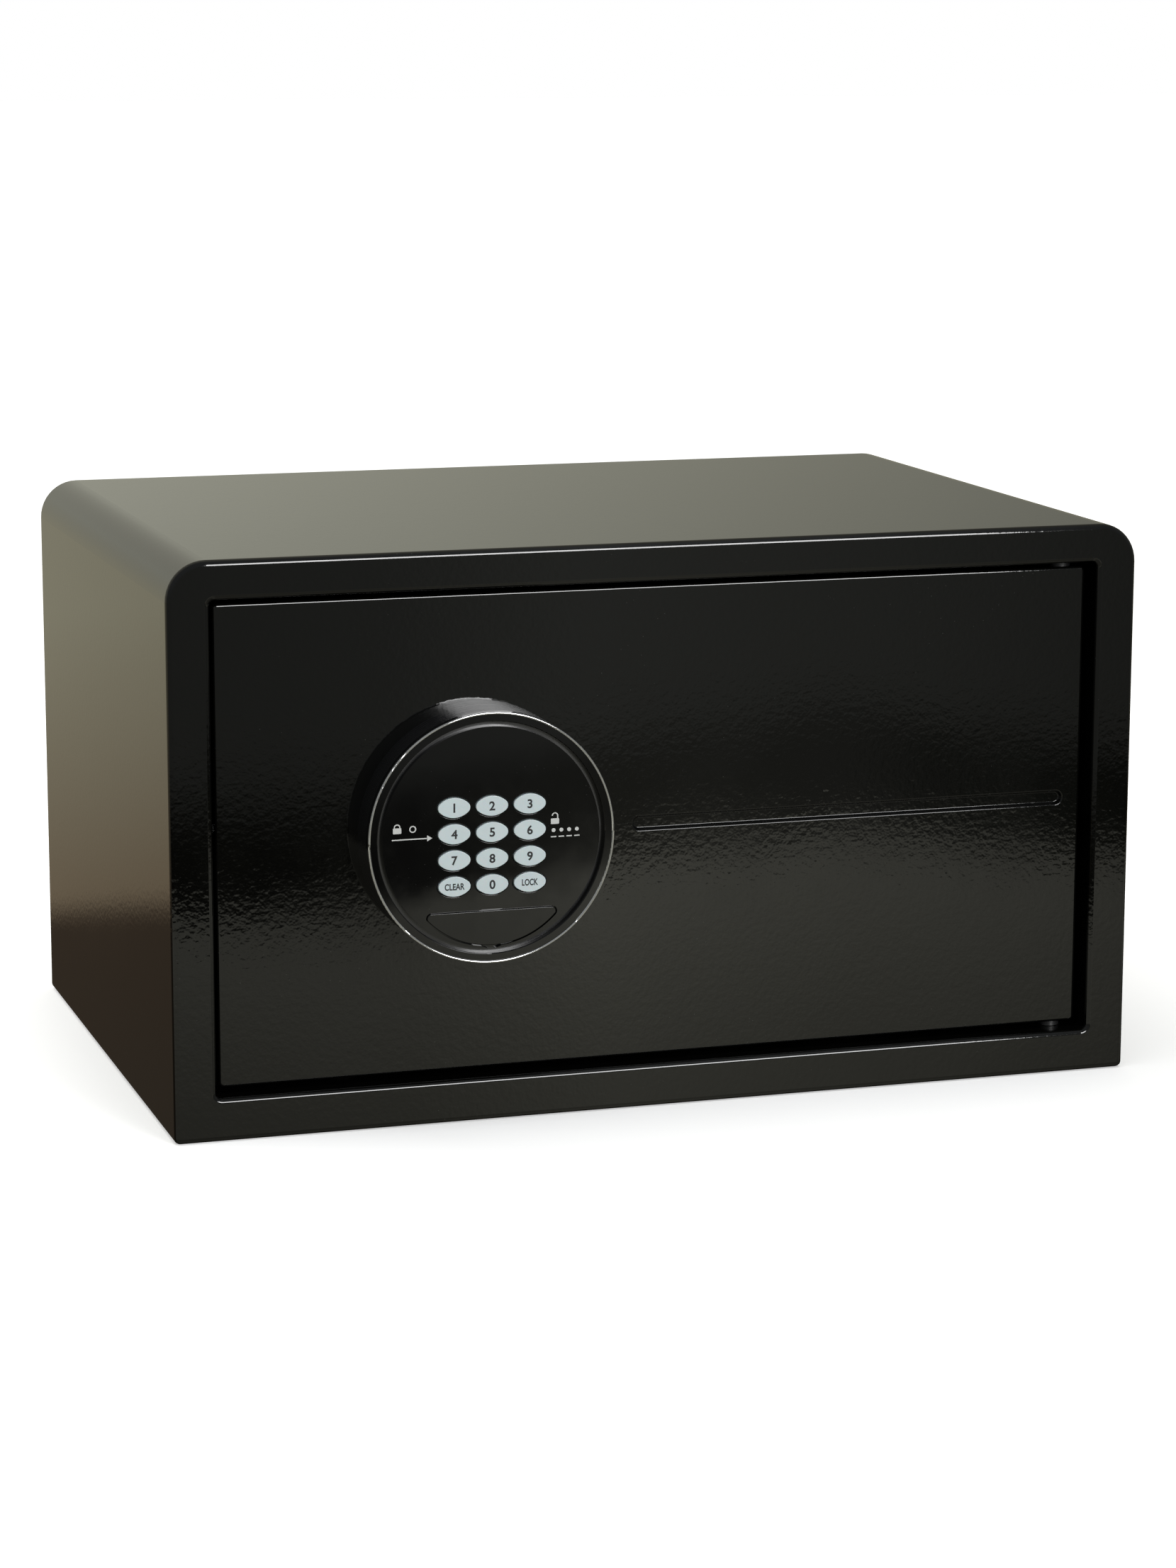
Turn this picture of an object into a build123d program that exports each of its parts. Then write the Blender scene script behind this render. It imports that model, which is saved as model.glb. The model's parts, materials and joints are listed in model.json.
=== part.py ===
"""Front-opening electronic room safe with a round keypad and a motor-driven bolt.

Frame: origin at the centre of the base, +Z up, the door faces -Y, hinge on the +X side.
Rest pose: door closed, bolts drawn back, nothing pressed.
"""
import os
from math import cos, pi, radians, sin, tan

from build123d import *

os.makedirs("parts", exist_ok=True)

# ---------------------------------------------------------------- cabinet
WIDTH = 430.0
HEIGHT = 244.5
DEPTH = 285.0
TOP_RADIUS = 17.0        # rounded top corners of the wrapped shell
BASE_RADIUS = 2.6        # tight fold along the base
SKIN = 2.0               # shell, floor and back sheet
FRONT_Y = -DEPTH / 2
BACK_Y = DEPTH / 2

FRAME_PLATE = 4.0        # thickness of the front border
FRAME_ROUND = 2.4        # outer front edge
BORDER_SIDE = 18.0
BORDER_TOP = 16.5
BORDER_BASE = 18.5
MOUTH_ROUND = 2.0        # rolled edge into the doorway
MOUTH_CORNER = 2.4
LIP_DEPTH = 28.0         # jamb depth behind the front face
MOUTH_W = WIDTH - 2 * BORDER_SIDE
MOUTH_LOW = BORDER_BASE
MOUTH_HIGH = HEIGHT - BORDER_TOP

FIX_RADIUS = 6.0         # anchor bolt holes
FLOOR_FIX = (240.0, 120.0)
FLOOR_FIX_Y = 10.0
WALL_FIX = 240.0
WALL_FIX_Z = 150.0
MAT = 3.0
MAT_HOLE = 16.0

# ---------------------------------------------------------------- door
RECESS = 8.0             # door face behind the front border
GAP_SIDE = 2.75
GAP_TOP = 2.7
DOOR_W = MOUTH_W - 2 * GAP_SIDE
DOOR_LOW = MOUTH_LOW + GAP_TOP
DOOR_HIGH = MOUTH_HIGH - GAP_TOP
DOOR_H = DOOR_HIGH - DOOR_LOW
DOOR_Z = (DOOR_LOW + DOOR_HIGH) / 2
DOOR_FACE = FRONT_Y + RECESS
DOOR_PLATE = 3.0
DOOR_INNER = DOOR_FACE + DOOR_PLATE
DOOR_FLANGE = 22.0       # depth of the folded edges, from the face
DOOR_SHEET = 2.0
DOOR_CORNER = 2.0       # upright corners of the folded door
DOOR_EDGE = 1.2         # rounding around the door face
GROOVE = (199.0, 6.4, 1.9)    # length, width and depth
GROOVE_AT = (86.5, 123.0)
GROOVE_TAPER = 25.0      # slope of the groove's sides, in degrees
GROOVE_ROUND = 0.6       # along the rim of the groove
GROOVE_FOOT = 0.5        # where its sides meet its floor

# ---------------------------------------------------------------- hinge
PIVOT_X = DOOR_W / 2 - 9.0
PIVOT_Y = DOOR_FACE + 7.2
PIN_R = 2.5
BUSH_BORE = 2.55
BUSH_R = 3.5
BUSH_HEAD = (4.5, 2.5)        # radius and thickness of the flange
HINGE_BLOCK = (14.25, 12.0)   # width and height of the welded block
BRACKET = (26.0, 18.0, 3.0)
PIN_REACH = 15.5              # pin length into the door

# ---------------------------------------------------------------- keypad
PAD_X = -80.4
PAD_Z = 124.4
PAD_R = 53.5
PAD_RISE = 18.0               # how far the bead stands off the door
BEAD_Y = DOOR_FACE - PAD_RISE
BEAD_W = 1.1
BEAD_SEAT = 0.7               # depth of the rebate that the bright bead sits in
RING_FLAT = 0.6               # bead crest down to the flat of the ring
RING_INNER = 49.3
RING_BEVEL = 0.35             # rounding on the inner edge of the ring
FACE_ROUND = 0.35             # rounding on every front edge of the fascia and its cover
FASCIA_R = 47.2
FASCIA_Y = BEAD_Y + 1.2
FASCIA_T = 2.5
LEDGE_Y = FASCIA_Y + FASCIA_T
HOUSING_WALL = 3.0
HOUSING_BASE = 3.0
LEDGE_INNER = 45.6
BOARD_Y = LEDGE_Y + 3.4
BOARD_T = 1.6
BOARD_R = 44.0

KEY_PITCH_X = 16.4
KEY_PITCH_Z = 11.17
KEY_W = 13.9
KEY_H = 8.5
KEY_TIP = 2.6                 # radius of the oval's ends
KEY_TOP_Z = PAD_Z + 13.7      # centre of the first row
KEY_PROUD = 0.9
KEY_LIP_LOW = KEY_TOP_Z - 3.6 * KEY_PITCH_Z    # between these heights lie the key holes
KEY_LIP_HIGH = KEY_TOP_Z + 0.6 * KEY_PITCH_Z
KEY_EDGE = 0.22               # small rounding of the key face
KEY_GAP = 0.35
KEY_NAMES = ("one", "two", "three", "four", "five", "six", "seven", "eight", "nine",
             "clear", "zero", "lock")

COVER_CHORD_Z = PAD_Z - 31.1
COVER_ARC_R = 38.4
COVER_BASE_Z = PAD_Z - 46.0
COVER_T = 1.6
COVER_CORNER = 1.9
COVER_GAP = 0.45
NOTCH_R = 9.0                 # finger scallop below the cover
NOTCH_DEPTH = 1.3
WINDOW = (34.0, 6.0)
WINDOW_Z = PAD_Z - 37.0

HOUSING_SCREW_R = 1.75
HOUSING_SCREW_PCD = 78.0
LEAD_HOLE_R = 7.0
LEAD_Z = PAD_Z + 24.0         # where the keypad lead crosses the door plate

# ---------------------------------------------------------------- lock
LOCK_PLATE = (-186.0, 20.0, 64.0, 182.0)   # x low, x high, z low, z high
LOCK_PLATE_T = 2.0
LOCK_Y = DOOR_INNER + LOCK_PLATE_T
BOLT_R = 8.0
BOLT_Y = -104.0
BOLT_ZS = (82.0, 162.0)
BOLT_TIP = -190.0
BOLT_LENGTH = 42.0
BOLT_THROW = 15.0
GUIDE = (14.0, 26.0)          # length along the bolt, square size
GUIDE_FIT = 0.06
CARRIAGE = (-145.0, -60.0, 70.0, 174.0)
CARRIAGE_T = 3.0
CARRIAGE_Y = BOLT_Y - 1.5
POST_R = 4.0
POST_COLLAR = 7.0
POST_X = -112.0
POST_ZS = (98.0, 148.0)
MODULE = 1.0
TEETH = 16
PITCH_R = MODULE * TEETH / 2
PINION_X = -36.0
PINION_Z = 112.0
PINION_T = 6.0
BACKLASH = 0.35
RACK_TEETH = 11
RACK_BAR = 8.0

# ---------------------------------------------------------------- inner cover
COVER_X = (-189.0, 175.0)
COVER_Z = (30.0, 214.0)
COVER_Y = -84.0
COVER_SHEET = 1.5
POST_POINTS = [(-178.0, 42.0), (-178.0, 202.0), (-7.0, 42.0), (-7.0, 202.0), (164.0, 42.0), (164.0, 202.0)]
CELL_R = 7.1
CELL_L = 50.0
CELL_NUB = 1.2
CELL_PITCH = 16.0
TRAY_X = 136.0
TRAY_Z = 122.0
TRAY = (64.0, 70.0)
TRAY_BACK = -104.0
LID = (72.0, 78.0, 2.2)
LID_GAP = 0.1
PCB = (22.0, 92.0, 78.0, 166.0)
PCB_Y = -112.0
CABLE_R = 1.6


def front_plane(y):
    """Sketch plane facing the viewer at depth y: local x is X and local y is Z."""
    return Plane.XZ.offset(-y)


def block(low, high, mode=Mode.ADD):
    """Box between two opposite corners."""
    size = [b - a for a, b in zip(low, high)]
    centre = tuple((a + b) / 2 for a, b in zip(low, high))
    with Locations(centre):
        Box(*size, mode=mode)


def span(start, length):
    """Low and high ends of a stretch that starts somewhere and runs a signed length."""
    return (min(start, start + length), max(start, start + length))


def y_rod(x, z, radius, y_front, y_back, mode=Mode.ADD):
    """Cylinder lying along Y."""
    with Locations((x, (y_front + y_back) / 2, z)):
        Cylinder(radius, y_back - y_front, rotation=(90, 0, 0), mode=mode)


def x_rod(y, z, radius, x_low, x_high, mode=Mode.ADD):
    """Cylinder lying along X."""
    with Locations(((x_low + x_high) / 2, y, z)):
        Cylinder(radius, x_high - x_low, rotation=(0, 90, 0), mode=mode)


def z_rod(x, y, radius, z_low, z_high, mode=Mode.ADD):
    """Upright cylinder."""
    with Locations((x, y, (z_low + z_high) / 2)):
        Cylinder(radius, z_high - z_low, mode=mode)


def save(part, name):
    """Label a finished piece and write it."""
    part.label = name
    export_step(part, f"parts/{name}.step")


def arch_face(inset):
    """Cross-section of the wrapped shell, drawn in by inset on every side."""
    with BuildSketch() as face:
        with Locations((0, HEIGHT / 2)):
            Rectangle(WIDTH - 2 * inset, HEIGHT - 2 * inset)
        fillet(face.vertices().group_by(Axis.Y)[-1], TOP_RADIUS - inset)
        fillet(face.vertices().group_by(Axis.Y)[0], BASE_RADIUS - inset)
    return face.sketch


def mouth_face(grow):
    """Doorway outline, grown by a margin."""
    with BuildSketch() as face:
        with Locations((0, (MOUTH_LOW + MOUTH_HIGH) / 2)):
            RectangleRounded(MOUTH_W + 2 * grow, MOUTH_HIGH - MOUTH_LOW + 2 * grow, MOUTH_CORNER + grow)
    return face.sketch


# ================================================================ cabinet
def make_body_shell():
    with BuildPart() as shell:
        with BuildSketch(front_plane(FRONT_Y + FRAME_PLATE)):
            add(arch_face(0))
            add(arch_face(SKIN), mode=Mode.SUBTRACT)
        extrude(amount=-(DEPTH - FRAME_PLATE))
        with Locations((0, FLOOR_FIX_Y, SKIN / 2)):
            with GridLocations(*FLOOR_FIX, 2, 2):
                Cylinder(FIX_RADIUS, 2 * SKIN, mode=Mode.SUBTRACT)
    save(shell.part, "body_shell")


def make_front_frame():
    with BuildPart() as frame:
        with BuildSketch(front_plane(FRONT_Y)):
            add(arch_face(0))
            add(mouth_face(0), mode=Mode.SUBTRACT)
        extrude(amount=-FRAME_PLATE)
        border = frame.faces().sort_by(Axis.Y)[0]
        fillet(border.outer_wire().edges(), FRAME_ROUND)
        border = frame.faces().sort_by(Axis.Y)[0]
        fillet(border.inner_wires()[0].edges(), MOUTH_ROUND)
        with BuildSketch(front_plane(FRONT_Y + FRAME_PLATE)):
            add(mouth_face(SKIN))
            add(mouth_face(0), mode=Mode.SUBTRACT)
        extrude(amount=-(LIP_DEPTH - FRAME_PLATE))
        z_rod(PIVOT_X, PIVOT_Y, PIN_R, MOUTH_LOW - 2 * SKIN, MOUTH_LOW + SKIN, Mode.SUBTRACT)
        z_rod(PIVOT_X, PIVOT_Y, PIN_R, MOUTH_HIGH - SKIN, MOUTH_HIGH + 2 * SKIN, Mode.SUBTRACT)
    save(frame.part, "front_frame")


def make_back_panel():
    with BuildPart() as panel:
        with BuildSketch(front_plane(BACK_Y - SKIN)):
            add(arch_face(SKIN))
            with Locations((-WALL_FIX / 2, WALL_FIX_Z), (WALL_FIX / 2, WALL_FIX_Z)):
                Circle(FIX_RADIUS, mode=Mode.SUBTRACT)
        extrude(amount=-SKIN)
    save(panel.part, "back_panel")


def make_floor():
    inner_w = WIDTH - 2 * SKIN
    front = FRONT_Y + FRAME_PLATE
    back = BACK_Y - SKIN
    with BuildPart() as plate:
        block((-inner_w / 2 + SKIN, front, SKIN), (inner_w / 2 - SKIN, back, 2 * SKIN))
        with Locations((0, FLOOR_FIX_Y, 1.5 * SKIN)):
            with GridLocations(*FLOOR_FIX, 2, 2):
                Cylinder(FIX_RADIUS, 2 * SKIN, mode=Mode.SUBTRACT)
    save(plate.part, "floor_plate")
    with BuildPart() as mat:
        block((-inner_w / 2 + 6, FRONT_Y + LIP_DEPTH + 4, 2 * SKIN),
              (inner_w / 2 - 6, back - 4, 2 * SKIN + MAT))
        with Locations((0, FLOOR_FIX_Y, 2 * SKIN)):
            with GridLocations(*FLOOR_FIX, 2, 2):
                Cylinder(MAT_HOLE, 3 * MAT, mode=Mode.SUBTRACT)
    save(mat.part, "floor_mat")


def make_hinges():
    """Welded brackets and pins on the cabinet; blocks and flanged bushes on the door."""
    width, height = HINGE_BLOCK
    head_r, head_t = BUSH_HEAD
    edge_x = DOOR_W / 2 - DOOR_SHEET
    sides = [(1, MOUTH_HIGH, DOOR_HIGH), (-1, MOUTH_LOW, DOOR_LOW)]
    with BuildPart() as brackets:
        for side, lip, _ in sides:
            low, high = span(lip + side * SKIN, side * BRACKET[2])
            block((PIVOT_X - BRACKET[0] / 2, PIVOT_Y - BRACKET[1] / 2 + 2, low),
                  (PIVOT_X + BRACKET[0] / 2, PIVOT_Y + BRACKET[1] / 2 + 2, high))
            z_rod(PIVOT_X, PIVOT_Y, PIN_R, low, high, Mode.SUBTRACT)
    save(brackets.part, "hinge_brackets")
    with BuildPart() as pins:
        for side, lip, door in sides:
            root = lip + side * (SKIN + BRACKET[2])
            low, high = span(root, door - side * PIN_REACH - root)
            z_rod(PIVOT_X, PIVOT_Y, PIN_R, low, high)
        chamfer(pins.edges().filter_by(GeomType.CIRCLE), 0.5)
    save(pins.part, "hinge_pins")
    with BuildPart() as blocks:
        for side, _, door in sides:
            low, high = span(door - side * DOOR_SHEET, -side * height)
            block((edge_x - width, DOOR_INNER, low), (edge_x, DOOR_INNER + width, high))
            z_rod(PIVOT_X, PIVOT_Y, BUSH_R, low, high, Mode.SUBTRACT)
    save(blocks.part, "hinge_blocks")
    with BuildPart() as bushes:
        for side, _, door in sides:
            low, high = span(door, -side * (DOOR_SHEET + height))
            head_low, head_high = span(door, side * head_t)
            z_rod(PIVOT_X, PIVOT_Y, BUSH_R, low, high)
            z_rod(PIVOT_X, PIVOT_Y, head_r, head_low, head_high)
            z_rod(PIVOT_X, PIVOT_Y, BUSH_BORE, low - 5, high + 5, Mode.SUBTRACT)
    save(bushes.part, "hinge_bushes")


# ================================================================ door
def pad_screw_points():
    """Three fixing points of the keypad housing."""
    points = []
    for angle in (90, 210, 330):
        reach = HOUSING_SCREW_PCD / 2
        points.append((PAD_X + reach * cos(radians(angle)), PAD_Z + reach * sin(radians(angle))))
    return points


def groove_edges(panel, y):
    """Edges of the pressed groove that lie at depth y."""
    reach = GROOVE[0] / 2
    edges = panel.edges().filter_by_position(Axis.Y, y - 0.01, y + 0.01)
    edges = edges.filter_by_position(Axis.X, GROOVE_AT[0] - reach, GROOVE_AT[0] + reach)
    return edges.filter_by_position(Axis.Z, GROOVE_AT[1] - GROOVE[1], GROOVE_AT[1] + GROOVE[1])


def make_door_panel():
    with BuildPart() as panel:
        with BuildSketch(front_plane(DOOR_FACE)):
            with Locations((0, DOOR_Z)):
                RectangleRounded(DOOR_W, DOOR_H, DOOR_CORNER)
        extrude(amount=-DOOR_FLANGE)
        fillet(panel.faces().sort_by(Axis.Y)[0].edges(), DOOR_EDGE)
        with BuildSketch(front_plane(DOOR_INNER)):
            with Locations((0, DOOR_Z)):
                Rectangle(DOOR_W - 2 * DOOR_SHEET, DOOR_H - 2 * DOOR_SHEET)
        extrude(amount=-DOOR_FLANGE, mode=Mode.SUBTRACT)
        with BuildSketch(front_plane(DOOR_FACE)):
            with Locations(GROOVE_AT):
                SlotOverall(GROOVE[0], GROOVE[1])
        extrude(amount=-GROOVE[2], taper=GROOVE_TAPER, mode=Mode.SUBTRACT)
        fillet(groove_edges(panel, DOOR_FACE), GROOVE_ROUND)
        fillet(groove_edges(panel, DOOR_FACE + GROOVE[2]), GROOVE_FOOT)
        for door_edge in (DOOR_LOW, DOOR_HIGH):
            z_rod(PIVOT_X, PIVOT_Y, BUSH_R, door_edge - 3, door_edge + 3, Mode.SUBTRACT)
        y_rod(PAD_X, LEAD_Z, LEAD_HOLE_R, DOOR_FACE, DOOR_INNER, Mode.SUBTRACT)
        for x, z in pad_screw_points():
            y_rod(x, z, HOUSING_SCREW_R, DOOR_FACE, DOOR_INNER, Mode.SUBTRACT)
    save(panel.part, "door_panel")


def make_mechanism_cover():
    lid_w, lid_h, _ = LID
    overlap = 4.0
    with BuildPart() as cover:
        block((COVER_X[0], DOOR_INNER, COVER_Z[0]), (COVER_X[1], COVER_Y, COVER_Z[1]))
        fillet(cover.edges().filter_by(Axis.Y), 4)
        fillet(cover.faces().sort_by(Axis.Y)[-1].edges(), 2)
        block((COVER_X[0] + COVER_SHEET, DOOR_INNER, COVER_Z[0] + COVER_SHEET),
              (COVER_X[1] - COVER_SHEET, COVER_Y - COVER_SHEET, COVER_Z[1] - COVER_SHEET), Mode.SUBTRACT)
        for z in BOLT_ZS:
            x_rod(BOLT_Y, z, BOLT_R + 0.5, COVER_X[0] - 1, COVER_X[0] + 3, Mode.SUBTRACT)
        for x, z in POST_POINTS:
            y_rod(x, z, 1.75, COVER_Y - 2 * COVER_SHEET, COVER_Y + 1, Mode.SUBTRACT)
        block((TRAY_X - lid_w / 2 + overlap, COVER_Y - 2 * COVER_SHEET, TRAY_Z - lid_h / 2 + overlap),
              (TRAY_X + lid_w / 2 - overlap, COVER_Y + 1, TRAY_Z + lid_h / 2 - overlap), Mode.SUBTRACT)
    save(cover.part, "mechanism_cover")
    with BuildPart() as posts:
        for x, z in POST_POINTS:
            y_rod(x, z, 4.0, DOOR_INNER, COVER_Y - COVER_SHEET)
            y_rod(x, z, 1.75, COVER_Y - COVER_SHEET - 10, COVER_Y - COVER_SHEET, Mode.SUBTRACT)
    save(posts.part, "cover_posts")
    with BuildPart() as screws:
        for x, z in POST_POINTS:
            y_rod(x, z, 1.75, COVER_Y - COVER_SHEET - 9, COVER_Y)
            y_rod(x, z, 3.6, COVER_Y, COVER_Y + 2.2)
            y_rod(x, z, 0.9, COVER_Y + 1.2, COVER_Y + 2.2, Mode.SUBTRACT)
    save(screws.part, "cover_screws")


# ================================================================ keypad
def key_points():
    """Centres of the twelve keys in reading order, as (x, z)."""
    points = []
    for row in range(4):
        for column in range(3):
            points.append((PAD_X + (column - 1) * KEY_PITCH_X, KEY_TOP_Z - row * KEY_PITCH_Z))
    return points


def key_face(x, z, grow=0.0):
    """Oval key outline: an upper and a lower arc with rounded tips, grown by a margin."""
    half_w = KEY_W / 2 + grow
    half_h = KEY_H / 2 + grow
    tip = KEY_TIP + grow
    arc = ((half_w - tip) ** 2 + half_h ** 2 - tip ** 2) / (2 * (half_h - tip))
    with BuildSketch() as face:
        with Locations((x, z + half_h - arc)):
            Circle(arc)
        with Locations((x, z - half_h + arc)):
            Circle(arc, mode=Mode.INTERSECT)
        fillet(face.vertices(), tip)
    return face.sketch


def half_moon(grow=0.0):
    """Service cover outline: straight top, arc below, rounded ends."""
    arc_z = COVER_BASE_Z + COVER_ARC_R
    with BuildSketch() as face:
        with Locations((PAD_X, arc_z)):
            Circle(COVER_ARC_R)
        with Locations((PAD_X, COVER_CHORD_Z)):
            Rectangle(4 * COVER_ARC_R, 4 * COVER_ARC_R, align=(Align.CENTER, Align.MIN), mode=Mode.SUBTRACT)
        fillet(face.vertices(), COVER_CORNER)
        if grow:
            offset(amount=grow)
    return face.sketch


def make_housing():
    with BuildPart() as housing:
        y_rod(PAD_X, PAD_Z, PAD_R, LEDGE_Y, DOOR_FACE)
        y_rod(PAD_X, PAD_Z, LEDGE_INNER, LEDGE_Y, DOOR_FACE - HOUSING_BASE, Mode.SUBTRACT)
        y_rod(PAD_X, PAD_Z, PAD_R - HOUSING_WALL, LEDGE_Y + 3.0, DOOR_FACE - HOUSING_BASE, Mode.SUBTRACT)
        y_rod(PAD_X, LEAD_Z, LEAD_HOLE_R, DOOR_FACE - HOUSING_BASE, DOOR_FACE, Mode.SUBTRACT)
        for x, z in pad_screw_points():
            y_rod(x, z, 4.0, BOARD_Y + BOARD_T, DOOR_FACE - HOUSING_BASE)
            y_rod(x, z, HOUSING_SCREW_R, BOARD_Y + BOARD_T, DOOR_FACE, Mode.SUBTRACT)
    save(housing.part, "keypad_housing")
    with BuildPart() as screws:
        for x, z in pad_screw_points():
            y_rod(x, z, HOUSING_SCREW_R, BOARD_Y + BOARD_T + 1.0, DOOR_INNER)
            y_rod(x, z, 3.4, DOOR_INNER, DOOR_INNER + 2.0)
    save(screws.part, "housing_screws")


def make_trim_ring():
    """Bezel of the keypad: a flat band with a stepped inner edge, and the bright bead let into its rim."""
    crest = BEAD_Y
    flat = BEAD_Y + RING_FLAT
    seat = flat + BEAD_SEAT
    rebate = PAD_R - BEAD_W
    axis = Axis((PAD_X, 0, PAD_Z), (0, 1, 0))
    section = Plane((PAD_X, 0, PAD_Z), x_dir=(1, 0, 0), z_dir=(0, 0, 1))
    with BuildPart() as ring:
        with BuildSketch(section):
            with BuildLine():
                Polyline((RING_INNER, LEDGE_Y), (RING_INNER, flat), (rebate, flat), (rebate, seat),
                         (PAD_R, seat), (PAD_R, LEDGE_Y), close=True)
            make_face()
        revolve(axis=axis)
        front_circles = ring.edges().group_by(Axis.Y)[0]
        fillet(front_circles.sort_by(SortBy.LENGTH)[0], RING_BEVEL)
    save(ring.part, "trim_ring")
    with BuildPart() as bead:
        with BuildSketch(section):
            with BuildLine():
                Line((rebate, seat), (rebate, flat))
                ThreePointArc((rebate, flat), (rebate + BEAD_W / 2, crest), (PAD_R, flat))
                Line((PAD_R, flat), (PAD_R, seat))
                Line((PAD_R, seat), (rebate, seat))
            make_face()
        revolve(axis=axis)
    save(bead.part, "chrome_bead")


def make_fascia():
    with BuildPart() as fascia:
        y_rod(PAD_X, PAD_Z, FASCIA_R, FASCIA_Y, LEDGE_Y)
        with BuildSketch(front_plane(FASCIA_Y)):
            for x, z in key_points():
                add(key_face(x, z, KEY_GAP))
        extrude(amount=-FASCIA_T, mode=Mode.SUBTRACT)
        with BuildSketch(front_plane(FASCIA_Y)):
            add(half_moon(COVER_GAP))
            with Locations((PAD_X, COVER_BASE_Z - NOTCH_DEPTH + NOTCH_R)):
                Circle(NOTCH_R)
        extrude(amount=-COVER_T, mode=Mode.SUBTRACT)
        with BuildSketch(front_plane(FASCIA_Y)):
            with Locations((PAD_X, WINDOW_Z)):
                RectangleRounded(*WINDOW, 1)
        extrude(amount=-FASCIA_T, mode=Mode.SUBTRACT)
        front_edges = fascia.edges().group_by(Axis.Y)[0]
        fillet(front_edges.filter_by_position(Axis.Z, KEY_LIP_LOW, KEY_LIP_HIGH), FACE_ROUND)
    save(fascia.part, "fascia")


def make_keys():
    """Each key: a domed cap through the fascia and a retaining skirt behind it."""
    for name, (x, z) in zip(KEY_NAMES, key_points()):
        with BuildPart() as key:
            with BuildSketch(front_plane(FASCIA_Y - KEY_PROUD)):
                add(key_face(x, z))
            extrude(amount=-(KEY_PROUD + FASCIA_T + 0.1))
            fillet(key.faces().sort_by(Axis.Y)[0].edges(), KEY_EDGE)
            with BuildSketch(front_plane(LEDGE_Y + 0.1)):
                add(key_face(x, z, 0.9))
            extrude(amount=-0.8)
        save(key.part, f"key_{name}")


def make_keypad_inside():
    points = key_points()
    mat_y = BOARD_Y - 0.9
    with BuildPart() as mat:
        block((PAD_X - 26, mat_y, points[-1][1] - 6), (PAD_X + 26, BOARD_Y, points[0][1] + 6))
        for x, z in points:
            y_rod(x, z, 3.2, mat_y - 0.5, mat_y)
    save(mat.part, "keypad_mat")
    with BuildPart() as board:
        y_rod(PAD_X, PAD_Z, BOARD_R, BOARD_Y, BOARD_Y + BOARD_T)
        y_rod(PAD_X, LEAD_Z, 2.5, BOARD_Y, BOARD_Y + BOARD_T, Mode.SUBTRACT)
    save(board.part, "keypad_board")
    with BuildPart() as display:
        block((PAD_X - 18, LEDGE_Y + 0.2, PAD_Z + 27), (PAD_X + 18, BOARD_Y, PAD_Z + 39))
    save(display.part, "display_module")
    with BuildPart() as socket:
        block((PAD_X - 6, FASCIA_Y + COVER_T + 0.5, WINDOW_Z - 2.6), (PAD_X + 6, BOARD_Y, WINDOW_Z + 2.6))
        y_rod(PAD_X - 2.5, WINDOW_Z, 1.6, FASCIA_Y + COVER_T + 0.5, BOARD_Y - 1, Mode.SUBTRACT)
        block((PAD_X + 1, FASCIA_Y + COVER_T + 0.5, WINDOW_Z - 1.2),
              (PAD_X + 4.5, BOARD_Y - 1, WINDOW_Z + 1.2),
              Mode.SUBTRACT)
    save(socket.part, "service_socket")


def make_service_cover():
    with BuildPart() as cover:
        with BuildSketch(front_plane(FASCIA_Y)):
            add(half_moon())
        extrude(amount=-(COVER_T - 0.1))
        fillet(cover.faces().sort_by(Axis.Y)[0].edges(), FACE_ROUND)
        for x in (PAD_X - 13, PAD_X + 13):
            block((x - 2, FASCIA_Y + COVER_T - 0.1, WINDOW_Z - 2.5), (x + 2, LEDGE_Y + 0.6, WINDOW_Z + 2.5))
    save(cover.part, "service_cover")


# ================================================================ bolt work
def make_lock_plate():
    x_low, x_high, z_low, z_high = LOCK_PLATE
    corners = [(x, z) for x in (x_low + 30, x_high - 8) for z in (z_low + 8, z_high - 8)]
    with BuildPart() as plate:
        block((x_low, DOOR_INNER, z_low), (x_high, LOCK_Y, z_high))
        y_rod(PAD_X, LEAD_Z, LEAD_HOLE_R, DOOR_INNER, LOCK_Y, Mode.SUBTRACT)
        for x, z in pad_screw_points():
            y_rod(x, z, 5.0, DOOR_INNER, LOCK_Y, Mode.SUBTRACT)
    save(plate.part, "lock_plate")
    with BuildPart() as nuts:
        for x, z in corners:
            with BuildSketch(front_plane(LOCK_Y)):
                with Locations((x, z)):
                    RegularPolygon(4.0, 6)
            extrude(amount=-3.2)
    save(nuts.part, "lock_plate_nuts")


def make_bolts():
    for name, z in zip(("lower", "upper"), BOLT_ZS):
        with BuildPart() as bolt:
            x_rod(BOLT_Y, z, BOLT_R, BOLT_TIP, BOLT_TIP + BOLT_LENGTH)
            chamfer(bolt.edges().filter_by(GeomType.CIRCLE).sort_by(Axis.X)[0], 1.5)
        save(bolt.part, f"locking_bolt_{name}")
        with BuildPart() as guide:
            x_low = LOCK_PLATE[0]
            half = GUIDE[1] / 2
            block((x_low, LOCK_Y, z - half), (x_low + GUIDE[0], BOLT_Y + half, z + half))
            x_rod(BOLT_Y, z, BOLT_R + GUIDE_FIT, x_low, x_low + GUIDE[0], Mode.SUBTRACT)
        save(guide.part, f"bolt_guide_{name}")


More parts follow.
